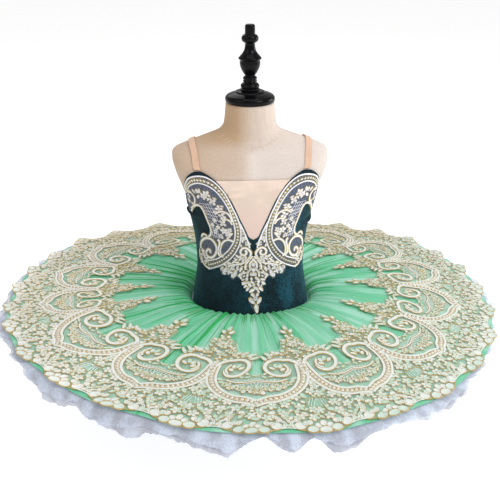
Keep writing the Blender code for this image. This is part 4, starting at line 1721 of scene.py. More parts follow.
    def in_window(self, places: Array) -> Array:
        """Which places lie in the net window below the bands."""
        return ((places[:, 0] / 19) ** 2 + ((places[:, 1] - 368) / 13) ** 2) < 1

    def blooms(self, half: int) -> Array:
        """Middles of the flowers strewn between the bands and the edge, for half 0 or 1."""
        return scatter(self.FAN_AREA, 15.5, 7 + 30 * half, self.in_window)

    def petals(self, half: int) -> tuple[FlatMesh, FlatMesh]:
        """The petals and leaves inside the bands, and those outside them, flat.

        Args:
            half: which half of the repeat, 0 or 1; the two differ as hand-sewn ones do.

        Returns:
            Those inside and those outside.
        """
        kit = self.kit
        leaves = [(*row[:5], row[5] + 14 * math.sin(5 * i + 3 * half)) for i, row in enumerate(self.LEAVES)]
        inside = list(self.SCROLL_BUDS)
        for i, (x, y) in enumerate(self.VINE):
            inside += flower(x, y, 5, 6.2, 31 * i, 0.9)
        for i, (x, y) in enumerate(self.ROSETTES):
            inside += flower(x, y, 5, 5.6, 20 * i + 30 * half, 0.95)
        inside += spray(scatter(self.CLUSTER_AREA, 6.9, 5 + half), (0, 268), (9.0, 6.5, 0.9), 60)
        inside += spray(scatter(self.VINE_AREA, 6.9, 15 + half), (30, 300), (8.6, 6.2, 0.9), 70)
        blooms = self.blooms(half)
        flowers = []
        for i, (x, y) in enumerate(blooms):
            flowers += flower(x, y, 5, 8.8, 29 * i, 0.95)

        def taken(places: Array) -> Array:
            """Which places lie in the window or on a flower."""
            gaps = np.linalg.norm(places[:, None] - blooms[None], axis=2).min(1)
            return self.in_window(places) | (gaps < 9.6)

        outside = spray(scatter(self.FAN_AREA, 8.0, 8 + half, taken), (20, 300), (12.0, 7.6, 0.8), 60)
        shells = []
        for k, tilt in ((1, -10), (2, -24), (4, 24), (5, 10)):
            shells.append((*self.edge_point(k / 6, 8.0), 15.5, 17.0, 0.9, 90 + tilt))
            for off, inset in ((-0.5, 15.0), (0.15, 20.5)):
                place = self.edge_point((k + (off if k < 3 else -off)) / 6, inset)
                shells.append((*place, 12.0, 9.6, 0.9, 90 + 2 * tilt - 60 * off))
        for at, heading in ((0.44, 100), (0.48, 60), (0.52, 120), (0.56, 80)):
            outside.append((*self.edge_point(at, 5.5), 9.5, 5.5, 0.8, heading))
        far = ((0.5, 15, 90), (0.46, 20, 50), (0.54, 20, 130), (0.33, 25, 80), (0.67, 25, 100))
        outside += [(*self.edge_point(at, inset), 12.0, 7.5, 0.9, heading) for at, inset, heading in far]
        edging = self.shells(shells, 7)
        return (
            FlatMesh.join([kit.sew(leaves, kit.blade, 1), kit.sew(inside, kit.bud, 2)]),
            FlatMesh.join([kit.sew(outside, kit.blade, 3), kit.sew(flowers, kit.bud, 12), edging]),
        )

    def middle_petals(self) -> FlatMesh:
        """The petals that stand on the middle line of a repeat and on the line where two meet, flat.

        Returns:
            The petals.
        """
        rows = [(0.0, 179.5, 19, 10.0, 1.0, -90)]
        rows += flower(0.0, 229.0, 7, 10.0, 0) + flower(0.0, 252.0, 6, 7.0, 30)
        shells = []
        for share in (0.0, 1.0):
            shells.append((*self.edge_point(share, 8.4), 16.5, 19.0, 1.0, 90))
            shells.append((*self.edge_point(share, 23.0), 14.0, 10.0, 1.0, 90))
        return FlatMesh.join([self.kit.sew(rows, self.kit.bud, 6), self.shells(shells, 9)])

    def build(self) -> None:
        """Makes the border's pieces."""
        net = self.spread(self.half_net())
        net.points[:, 2] -= 0.5 * MM
        base = net.build("skirt_lace_net", self.ground)
        inside, outside, stones = [], [], []
        for half, side in enumerate((1, -1)):
            within_bands, beyond = self.petals(half)
            inside.append(self.spread(within_bands, (side,)))
            outside.append(self.spread(beyond, (side,)))
            stones.append(self.spread(self.stones(half), (side,)))
        inside.append(self.spread(self.middle_petals(), (1,)))
        trims = [
            self.spread(self.cords()).build("skirt_lace_cords", self.corded),
            FlatMesh.join(inside).build("skirt_lace_petals_inner", self.corded),
            FlatMesh.join(outside).build("skirt_lace_petals_outer", self.corded),
            self.spread(self.row()).build("skirt_lace_pearls", self.beaded),
            FlatMesh.join(stones).build("skirt_lace_stones", self.beaded),
        ]
        settle("gold_lace", "skirt_lace", base, *trims)
        LOG.info("skirt lace out to %.0f mm", float(self.edge(np.array(0.0))))


# The bodice's lace


class CupLace(Lace):
    """The lace scroll over each cup, laid out flat once in turn and height and sewn on both sides.

    Leaves are rows of across, up, length, width and heading, and the drop's are rows as
    LaceKit.sew takes them. The other tables are rows of across and up.
    """

    SMOOTH = 1.5
    MM_PER_TURN = 1.75
    NET_STEP = 6.0
    OUTLINE: Points = (
        (0.6, 301), (3.2, 316), (4.8, 326), (7.8, 336.5), (10.8, 347), (13.8, 356.5), (16.8, 365.5),
        (19.1, 377.5), (22, 389), (24.6, 400), (27, 411), (30.6, 421), (34.8, 429.3), (40.2, 435.5),
        (48, 439.6), (58, 440.6), (68, 439.4), (80, 435.8), (92, 429.5), (104, 419), (115, 406), (120.5, 393),
        (120, 380), (126, 368), (113, 366.5), (102, 376.5), (90, 383.5), (83, 383.5), (79.5, 378.5),
        (77, 371), (75.5, 361), (73, 351), (72.6, 345), (74.6, 338.5), (79.5, 334.5), (86, 336),
        (94.5, 334.8), (101.5, 327.5), (110, 317), (118, 306), (120, 296), (120.5, 287), (117, 279),
        (105.5, 273), (94.5, 268.6), (84, 267.2), (70, 272.2), (60, 276), (56.5, 265.5), (52.5, 262.5),
        (45, 263.5), (40, 269), (38, 259.5), (33, 256), (26, 262), (21.5, 259), (16.5, 257), (0.6, 262),
    )
    BAND_OUTER: Points = (
        (113, 404), (103, 418), (91, 428.5), (79.5, 434.8), (67.5, 438), (58, 439), (48.5, 438), (41, 434),
        (36, 428), (32, 420), (28.5, 410.5), (26, 399.5), (23.5, 388.5), (20.5, 377), (18, 365), (16.5, 353),
        (16.5, 341.5), (18, 328), (22.5, 315), (30, 302.5), (41, 291), (54.5, 282), (70, 275), (88, 268.5),
    )
    BAND_INNER: Points = (
        (103, 408), (92.5, 418), (79, 424.5), (67.5, 427.5), (58.5, 427), (51, 424.5), (44.5, 420),
        (39.5, 413.5), (35.5, 405), (32, 395.5), (29, 384.5), (27, 373.5), (25.5, 362), (25, 350.5),
        (25.5, 340), (28, 329), (33, 319.5), (40.5, 309.5), (50.5, 300.5), (62, 293), (78, 287), (88, 284),
    )
    STRIP: Points = ((18, 365), (15, 356), (12, 346.5), (9, 336), (6, 325.5), (4.5, 316.5))
    STRIP_MIDDLE: Points = ((15.5, 352), (13.5, 341), (11, 332), (8, 322))
    WIDE_SCROLLS: tuple[Points, ...] = (
        (
            (108, 302), (106.5, 310.5), (98, 320), (86.5, 326.5), (74.5, 328), (66.5, 323), (62.5, 313.5),
            (64.5, 304), (71, 295.5), (80.5, 291.5), (88.5, 293.5), (90.5, 299.5), (84.5, 306), (78, 305.5),
            (79.5, 300.5),
        ),
        ((57.5, 329.5), (54.5, 324), (57, 315.5), (60.5, 308.5), (59, 302), (55, 298)),
    )
    SCROLLS: tuple[Points, ...] = (
        (
            (112.5, 370.5), (102.5, 379.5), (90, 386.5), (81, 387), (76.5, 381.5), (74, 373), (72.5, 362.5),
            (70, 352), (69.5, 344.5), (72, 336), (77.5, 331.5), (85.5, 328.5),
        ),
        ((102.5, 408), (93.5, 408.5), (88, 403), (89, 395), (95.5, 386), (109.5, 376.5)),
        (
            (29.5, 328), (35.5, 330.5), (42, 329.5), (48.5, 324.5), (53, 317), (55.5, 308), (53.5, 300),
            (49.5, 297.5),
        ),
        ((99, 326), (93, 332.5), (85.5, 333.5), (82, 330.5)),
        (
            (2.5, 307.5), (6, 314), (11, 317), (16, 314.5), (18.5, 308.5), (15.5, 303.5), (10, 304.5),
            (9, 310), (11.5, 312.5),
        ),
    )
    ARMS: tuple[Points, ...] = (
        ((51, 378), (44, 381.5), (37.5, 381.5), (32, 378.5), (28.5, 372), (27.5, 364)),
        ((43, 366), (36.5, 368), (31, 365.5), (28, 359)),
        ((113, 300), (116.5, 290.5), (114.5, 282), (104.5, 276), (93.5, 271.5), (83.5, 270.5)),
        ((2.5, 307.5), (4, 300.5), (8.5, 293.5), (14.5, 288.5), (23.5, 286), (31.5, 284.5), (42, 281)),
        ((1, 301.5), (4.5, 295.5), (8.5, 289), (11, 283), (11, 276.5)),
        ((4.5, 283), (3.5, 289), (0.4, 293)),
    )
    FLOWERS: Points = (
        (58, 410.5), (52, 398), (44.5, 386), (42, 373), (43.5, 360.5), (44, 346.5), (36.5, 341.5), (66, 406),
        (101, 298), (90, 285),
    )
    SMALL: Points = (
        (52.5, 379), (53.5, 352), (51, 336), (64, 355.5), (57.5, 364.5), (60.5, 343), (115, 289), (109, 283),
        (97, 279.5), (75, 413.5), (104, 400), (108, 391), (34, 348), (98, 290), (12.5, 297.5), (7, 324),
        (12, 334),
    )
    LEAVES: Points = (
        (94.8, 410, 12.9, 6.2, 13), (83, 412, 11, 6.2, -129), (70, 415, 10, 6, 117), (77, 404, 12, 6.2, 138),
        (58.5, 401.5, 8.6, 4.1, -54), (57.5, 347, 9.1, 5.1, 84), (48.5, 334.2, 7.5, 5.1, 42),
        (32.5, 341, 9.2, 6.2, 151), (32.5, 350, 7, 5.1, 121), (100.8, 299, 10.5, 5.1, 180),
        (108, 291, 12, 5.1, 5), (89.8, 283.8, 8, 5.1, 77), (108, 277.5, 14, 5.1, -25),
        (37.8, 334.5, 7.5, 5.1, 144), (98.5, 388, 9, 5, 60), (104, 379, 9, 5, 20), (47, 404, 8, 4.2, 20),
        (39, 391, 8, 4.2, 15), (37.5, 378.5, 8, 4, 160), (48, 272.5, 20, 7.2, -57), (39.5, 270.5, 14, 6, -66),
        (28.8, 268, 21, 8, -68), (23.8, 301.2, 9.3, 5, 36), (18.2, 296.2, 9.9, 5, -41),
        (18.2, 277, 13.3, 5, -75), (14.5, 271, 10.3, 4.6, -72), (20.5, 265.5, 9, 4.6, -72),
        (38.8, 286.5, 10, 4.6, -25), (30.2, 290, 10, 4.6, -25), (47, 283.5, 9, 4.4, -15),
        (34.5, 279, 11, 5, -60), (24, 280, 12, 5, -70), (55, 275.5, 10, 4.6, -70), (26, 294.5, 9, 4.4, 140),
        (11, 289, 9, 4, 60), (3.4, 277, 9, 4.2, -78), (7.5, 270, 10, 4.4, -74), (2.5, 267.5, 9, 4.4, -82),
        (17, 321, 8, 4, 80), (14.5, 329.5, 8, 4, 85),
    )
    LOWER_AREA: Points = (
        (1, 299), (6, 300), (12, 306), (19, 300), (27, 299), (39, 288), (54, 279), (52, 267), (44, 266),
        (38, 271), (33, 262), (26, 265), (18, 260), (1, 265),
    )
    DROP_HALF: Points = (
        (0, 262.9), (8, 260.2), (15.5, 257.4), (16.5, 250), (11.5, 241), (7, 235), (5, 228), (4.2, 222),
        (7.5, 217), (4.8, 209), (2.8, 201), (0, 196.5),
    )
    DROP_LEAVES: Points = (
        (3.4, 206, 21, 6.8, 2.2, -86), (7, 219.5, 15, 7.4, 2, -114), (-2, 219.5, 15, 7.4, 2, -62),
        (2.4, 224, 11, 6.4, 2, -90), (-0.8, 230.5, 9, 5, 2, -70), (4.8, 230.5, 9, 5, 2, -110),
        (9.5, 241, 11, 5.5, 2, -60), (-7.5, 241, 11, 5.5, 2, -120), (14.5, 251, 11, 5.5, 2, -40),
        (-13, 251, 11, 5.5, 2, -140), (0.2, 268, 9, 6, 2, 90), (0.2, 276, 9, 6, 2, 90),
        (0.1, 286, 10, 6, 2, 90), (0.1, 295, 8, 5, 2, 90),
    )

    def placed(self, flat: Array, side: int) -> Array:
        """Fits flat places on the bodice.

        Args:
            flat: across, up and out.
            side: 1 for the wearer's left and -1 for the right.

        Returns:
            The places on the dress.
        """
        across, up, out = flat.T
        height = up * MM
        off = SKIN_GAP + VELVET + CUP_LIFT + TORSO.stand_off(height) + out * MM
        return TORSO.point(side * across / self.MM_PER_TURN, height, off)

    def sewn(self, flat: FlatMesh, name: str, finish: Material, side: int = 1) -> Piece:
        """Sews a flat piece on the bodice.

        Args:
            flat: the piece.
            name: its name.
            finish: its material.
            side: 1 for the wearer's left and -1 for the right.

        Returns:
            The piece on the dress.
        """
        return flat.moved(self.placed(flat.points, side), side < 0).build(name, finish)

    def net_in(self, outline: Points, seed: int) -> FlatMesh:
        """The net ground inside an outline, whose long sides are split.

        Args:
            outline: the outline.
            seed: the seed of its inner points.

        Returns:
            The ground, flat.
        """
        loop = []
        for a, b in zip(outline, [*outline[1:], outline[0]]):
            count = max(1, int(math.dist(a, b) / self.NET_STEP))
            loop += [tuple(p + (q - p) * i / count for p, q in zip(a, b)) for i in range(count)]
        return self.net(loop, 5.5, seed, 2.2)

    def cords(self) -> FlatMesh:
        """Bands, scroll, window edge and net threads of one cup, flat.

        Returns:
            The cords.
        """
        draw = self.kit.draw
        threads = []
        for k in range(6):
            threads.append(((50 + 4.6 * k, 362 + 2.5 * k), (59 + 4.6 * k, 396 - 2.0 * k)))
            threads.append(((50 - 0.4 * k, 357 + 7 * k), (73.5 + 1.5 * k, 364 + 5.5 * k)))
        for k in range(4):
            threads.append(((55 + 4 * k, 331), (56 + 4 * k, 351)))
            threads.append(((54, 333 + 5 * k), (69, 336 + 5 * k)))
        white = self.soft(self.BAND_OUTER, self.BAND_INNER, self.STRIP)
        return FlatMesh.join(
            [
                draw(self.soft(*self.WIDE_SCROLLS), Profile.RIMMED, 6.0, 1.3, 2.0),
                draw(self.soft(*self.SCROLLS), Profile.RIMMED, 4.8, 1.2, 2.0),
                draw(self.soft(*self.ARMS), Profile.RIMMED, 4.0, 1.2, 2.0),
                draw(white, Profile.WHITE, 2.3, 1.3, 2.2),
                draw(threads, Profile.WHITE, 0.6, 0.5, 4.0),
            ]
        )

    def beads(self) -> FlatMesh:
        """The bead rows of the bands and the stones strewn on one cup, flat.

        Returns:
            The beads.
        """
        string = self.kit.string
        *cords, middle = self.band()
        strip = smooth_path(self.STRIP_MIDDLE, self.SMOOTH)
        rows = dots(scatter(self.LOWER_AREA, 7.0, 21), 2.4, 2.0)
        rows += dots((*self.FLOWERS, *self.SMALL), 2.6, 2.2)
        return FlatMesh.join(
            [
                string(middle, 4.0, 2.9, 0, 0.0),
                string(middle, 3.0, 2.9, 1, 1.0),
                string(strip, 2.8, 2.4, 0, 0.0),
                string(strip, 2.2, 2.4, 1, 1.0),
                *(string(halfway(middle, cord), 2.0, 2.0, 0, 1.0) for cord in cords),
                *(string(path, 1.6, 3.4, 0, 0.0) for path in self.soft(*self.WIDE_SCROLLS, *self.SCROLLS)),
                self.kit.sew(rows, self.kit.bead, 22),
            ]
        )

    def petals(self) -> FlatMesh:
        """The flowers, leaves and berries of one cup, flat.

        Returns:
            The petals.
        """
        kit = self.kit
        rows = []
        for i, (x, y) in enumerate(self.FLOWERS):
            rows += flower(x, y, 4 if i < 5 else 5, 7.4, 40 + 23 * i, 0.78 if i < 5 else 0.95)
        for i, (x, y) in enumerate(self.SMALL):
            rows += flower(x, y, 5, 4.9, 17 * i)
        leaves = [(x, y, long, wide, 1.3, heading) for x, y, long, wide, heading in self.LEAVES]
        leaves += spray(scatter(self.LOWER_AREA, 5.4, 23), (0, 306), (7.5, 4.2, 1.0), 40)
        return FlatMesh.join([kit.sew(rows, kit.bud, 24), kit.sew(leaves, kit.blade, 25)])

    def drop_outline(self) -> Rows:
        """The drop's outline, leaning a little to the wearer's left."""
        whole = [*self.DROP_HALF, *((-x, y) for x, y in self.DROP_HALF[-2:0:-1])]
        return [(x + 3.0 * (262.9 - y) / 66.4, y) for x, y in whole]

    def drop(self) -> tuple[FlatMesh, FlatMesh]:
        """The drop's leaves and berries, and its stones, flat.

        Returns:
            The leaves with the berries, and the stones.
        """
        kit = self.kit
        cluster = [(x, y) for x, y in self.drop_outline() if y > 234]
        leaves = [*spray(scatter(cluster, 5.0, 31), (0, 272), (9.0, 4.8, 1.4), 40), *self.DROP_LEAVES]
        stones = dots(scatter(cluster, 6.5, 32), 2.6, 2.4)
        stones += [*dots([(3.0, 206.5)], 3.4, 3.4), *dots([(2.2, 224.5)], 3.0, 3.0)]
        return kit.sew(leaves, kit.blade, 34), kit.sew(stones, kit.bead, 35)

    def build(self) -> None:
        """Makes the bodice lace's pieces."""
        parts = (
            ("cords", self.cords(), self.corded),
            ("petals", self.petals(), self.corded),
            ("beads", self.beads(), self.beaded),
        )
        for name, side in (("left", 1), ("right", -1)):
            net = self.sewn(self.net_in(self.OUTLINE, 41), f"cup_net_{name}", self.ground, side)
            trims = [self.sewn(part, f"cup_{kind}_{name}", finish, side) for kind, part, finish in parts]
            settle("gold_lace", f"cup_lace_{name}", net, *trims)
        leaves, stones = self.drop()
        net = self.sewn(self.net_in(self.drop_outline(), 42), "drop_net", self.ground)
        trims = [self.sewn(leaves, "drop_leaves", self.corded), self.sewn(stones, "drop_stones", self.beaded)]
        settle("gold_lace", "lace_drop", net, *trims)
        LOG.info("bodice lace sewn on both cups and below the plunge")


# The dress form


@dataclass
class DressForm:
    """The limbless form with its turned cap and finial, whose profiles are height and radius in mm."""

    columns: int = 144
    turned_sides: int = 64
    row_step: float = 4.0
    turned_step: float = 0.9
    crease_angle: float = 48.0
    cap: Points = (
        (545.3, 38.5), (546.5, 40.8), (549.5, 41.6), (553.5, 41.2), (557, 38.2), (559, 33.5), (560, 31),
        (561.5, 25), (563.5, 23.5), (564.5, 18),
    )
    finial: Points = (
        (564.8, 15.7), (567.5, 15.9), (568.5, 14.6), (571.5, 15.8), (575, 14.4), (577.8, 11), (580, 11.8),
        (582.2, 10.8), (584.6, 11.8), (587, 10.6), (589, 8.4), (594, 11.8), (601, 15.2), (608, 16.9),
        (614, 16.9), (616.8, 19.2), (619.5, 17.6), (625.5, 12.4), (631.5, 9.4), (640.5, 8.2), (642.6, 10.2),
        (645, 12.9), (648.6, 14.1), (652.2, 13.2), (654.8, 10.9), (656, 8.5), (668.5, 8.2), (671.3, 6.6),
    )

    def build(self) -> None:
        """Makes the torso, the neck cap and the finial."""
        self.torso()
        lacquer = LacquerFinish().build()
        self.turned("neck_cap", self.cap, lacquer)
        self.turned("finial", self.finial, lacquer)

    def torso(self) -> None:
        """The linen torso with its sewn lines down the front and round the neck, the line round the neck
        partly painted shadow.
        """
        sections = np.array(TORSO.sections)[:, 0]
        heights = []
        for low, high in zip(sections, sections[1:]):
            parts = max(1, int(round((high - low) / self.row_step)))
            heights += [low + (high - low) * i / parts for i in range(parts)]
        heights = np.array([*heights, sections[-1]]) * MM
        turns = np.arange(self.columns) * 360 / self.columns
        flat = capped_mesh(TORSO.point(turns[None, :], heights[:, None]))
        x, y, z = flat.points.T
        neck = np.where(y < 0, 0.4775, 0.488) + 0.019 * (x / 0.05) ** 2
        front = np.exp(-((x / 0.0007) ** 2)) * (z < neck)
        # the line round the neck is partly a seam and partly painted shadow under the neck
        lines = 0.7 * front + np.exp(-(((z - neck) / 0.0012) ** 2)) * (np.abs(x) < 0.05)
        flat.values["seam"] = np.clip(lines, 0, 1)
        settle("form_cotton", "form_torso", flat.build("form_linen", LinenFinish().build()))
        LOG.info("form torso: %d points", len(flat.points))

    def turned(self, node: str, profile: Points, finish: Material) -> None:
        """A turned piece.

        Args:
            node: the solid that it stands for.
            profile: its heights and radii.
            finish: its material.
        """
        path = smooth_path(profile, self.turned_step, held=True)
        turns = np.arange(self.turned_sides) * 360 / self.turned_sides
        grid = ring_points(turns[None, :], np.maximum(path[:, 1:2], 1.0) * MM, path[:, 0:1] * MM)
        piece = capped_mesh(grid).build(f"{node}_turned", finish)
        piece.data.set_sharp_from_angle(angle=math.radians(self.crease_angle))
        settle("black_lacquer", node, piece)


# The bodice


@dataclass
class Bodice:
    """The velvet front and back, the nude insert, the hip yoke and the straps.

    Edges are rows of turn and height in millimetres. Creases are rows of turn, height, half
    length in degrees, half width, depth and slope; drag lines have no slope of their own.
    """

    front_edge: Points = (
        (0, 330), (3, 335), (5.8, 350), (8.8, 367), (11.4, 386), (14.2, 405), (17.5, 422), (21.5, 434),
        (26, 441), (32, 445), (38, 444), (46, 438.5), (54, 430), (62, 416.5), (71, 393), (80, 370), (90, 352),
    )
    back_edge: Points = ((90, 352), (105, 344), (125, 343), (142, 350), (152, 350), (168, 342), (180, 339))
    creases: Points = (
        (66, 352, 26, 2.6, -3, 0.10), (70, 346, 26, 2.4, 4.2, 0.10), (73, 339.5, 22, 2.2, -2.8, 0.06),
        (-66, 371, 30, 2.6, -3, -0.05), (-70, 364.5, 28, 2.6, 4.4, -0.04), (-73, 358, 24, 2.2, -2.8, -0.04),
        (112, 332, 20, 3.4, -1.2, 0.08), (-112, 326, 22, 3.2, -1.2, -0.06), (30, 212, 26, 3, -0.5, 0.10),
        (-24, 206, 30, 3, -0.5, -0.05), (150, 214, 30, 3.4, -0.6, 0.05), (-146, 208, 26, 3.2, -0.6, -0.07),
    )
    drags: Points = (
        (-13, 417, 8, 1.6, 0.9), (-12, 411, 8, 1.4, -0.7), (-13, 405, 7, 1.4, 0.8), (-10, 399, 5, 1.4, -0.5),
        (12, 418, 6, 1.8, 0.5),
    )
    insert_top: float = 432 * MM
    insert_half_turn: float = 20.0
    insert_cloth: float = 1.2 * MM
    yoke_depth: float = 78 * MM

    def front_top(self, turn: Array) -> Array:
        """Height of the front's top edge at turns."""
        return SmoothTable(self.front_edge).at(np.abs(turn))[..., 0] * MM

    def back_top(self, turn: Array) -> Array:
        """Height of the back's top edge at turns."""
        return SmoothTable(self.back_edge).at(180 - np.abs(180 - turn))[..., 0] * MM

    def build(self) -> None:
        """Makes the bodice's pieces."""
        velvet = VelvetFinish().build()
        half = np.concatenate([np.arange(0, 46, 1.0), np.arange(46, 89, 1.6), [89.9]])
        around = np.concatenate([-half[:0:-1], half])
        self.panel("front", around, self.front_top, velvet, (0.30, 0.26), 0.0625)
        self.panel("back", np.linspace(90.1, 269.9, 110), self.back_top, velvet, (0.30, 0.17), 0.0455)
        self.yoke(velvet)
        self.insert()
        self.straps()
        LOG.info("bodice sewn")

    def folds(self, turn: Array, height: Array) -> Array:
        """Depth of the bodice's creases: short troughs under each arm and faint drags at the waist.

        Args:
            turn: degrees round the body.
            height: metres above the base.

        Returns:
            How far the cloth's outside moves, in metres.
        """
        total = np.zeros(np.broadcast(turn, height).shape)
        for where, level, long, wide, depth, slope in self.creases:
            d = (turn - where + 180) % 360 - 180
            off = height / MM - level - slope * d * 1.6 - 0.012 * d * d
            total += depth * MM * np.exp(-((d / long * 1.6) ** 2) - (off / wide) ** 2)
        return total

    @staticmethod
    def grid(turns: Array, bottom: Array | float, top: Array | float, rows: int) -> tuple[Array, Array]:
        """Turns and heights of a cloth's points.

        Args:
            turns: its columns, in degrees.
            bottom: height of its lower edge at the columns.
            top: height of its upper edge there.
            rows: how many rows it has.

        Returns:
            The turns and the heights.
        """
        heights = bottom + np.linspace(0, 1, rows)[:, None] * (top - bottom)
        return np.broadcast_to(turns[None, :], heights.shape), heights

    def panel(
        self, name: str, turns: Array, top: Callable, finish: Material, flat: Pair, area: float
    ) -> None:
        """A shaped velvet panel on the torso.

        Args:
            name: which one, front or back.
            turns: its columns, in degrees.
            top: gives the top edge's height at turns.
            finish: its material.
            flat: its width and length, laid flat, in metres; not used.
            area: how much cloth is in it, in square metres; not used.
        """
        wide, heights = self.grid(turns, JOIN_HEIGHT, top(turns), 112)
        off = SKIN_GAP + TORSO.stand_off(heights)
        near_top = np.clip((heights - (top(turns) - 5 * MM)) / (5 * MM), 0, 1)
        edge = 0.25 * MM * np.sin(np.pi * near_top)
        fade = np.clip((heights - JOIN_HEIGHT) / (8 * MM), 0, 1)
        outer = TORSO.point(wide, heights, off + VELVET + self.folds(wide, heights) * fade + edge)
        piece = panel_mesh(TORSO.point(wide, heights, off), outer, 3).build(f"bodice_{name}_cloth", finish)
        settle("velvet", f"bodice_{name}", piece)

    def yoke(self, finish: Material) -> None:
        """The velvet tube below the join.

        Args:
            finish: its material.
        """
        top = JOIN_HEIGHT - 0.3 * MM
        grid = self.grid(np.arange(120) * 3.0, np.full(120, top - self.yoke_depth), top, 14)
        rows = wall_rows(TORSO.point(*grid, SKIN_GAP), TORSO.point(*grid, SKIN_GAP + VELVET))
        piece = grid_mesh(rows, closed=True, looped=True).build("hip_yoke_cloth", finish)
        settle("velvet", "hip_yoke", piece)

    def insert(self) -> None:
        """The nude insert in the V, with faint drag lines from its upper corner."""
        turns = np.linspace(-self.insert_half_turn, self.insert_half_turn, 90)
        wide, heights = self.grid(turns, self.front_top(turns) + 0.9 * MM, self.insert_top, 56)
        off = SKIN_GAP + TORSO.stand_off(heights)
        move = np.zeros(heights.shape)
        for where, level, long, tall, depth in self.drags:
            d = wide - where
            above = heights / MM - level - 0.35 * d
            move += 1.7 * depth * MM * np.exp(-((d / long) ** 2) - (above / (tall * 1.6)) ** 2)
        outer = TORSO.point(wide, heights, off + self.insert_cloth + move)
        finish = KnitFinish("nude_stretch", (0.92, 0.73, 0.62), 2600.0).build()
        piece = panel_mesh(TORSO.point(wide, heights, off), outer, 2).build("neck_insert_cloth", finish)
        settle("nude_elastic", "neck_insert", piece)

    def straps(self) -> None:
        """The elastic straps, laid on the solids' own course over the shoulders."""
        finish = KnitFinish("nude_elastic_ribs", (0.80, 0.53, 0.37), 5200.0).build()
        for name in ("left", "right"):
            slots = frame["nodes"][f"strap_{name}"].data.materials
            slots.clear()
            slots.append(finish)


# The skirt


@dataclass(frozen=True)
class NetLayer:
    """One of the nets: its colours, its sizes in millimetres and the seed of its points."""

    name: str
    light: Triple
    shade: Triple
    shift: float
    seam_drop: float
    gap: float
    edge: float
    part: float
    seed: int


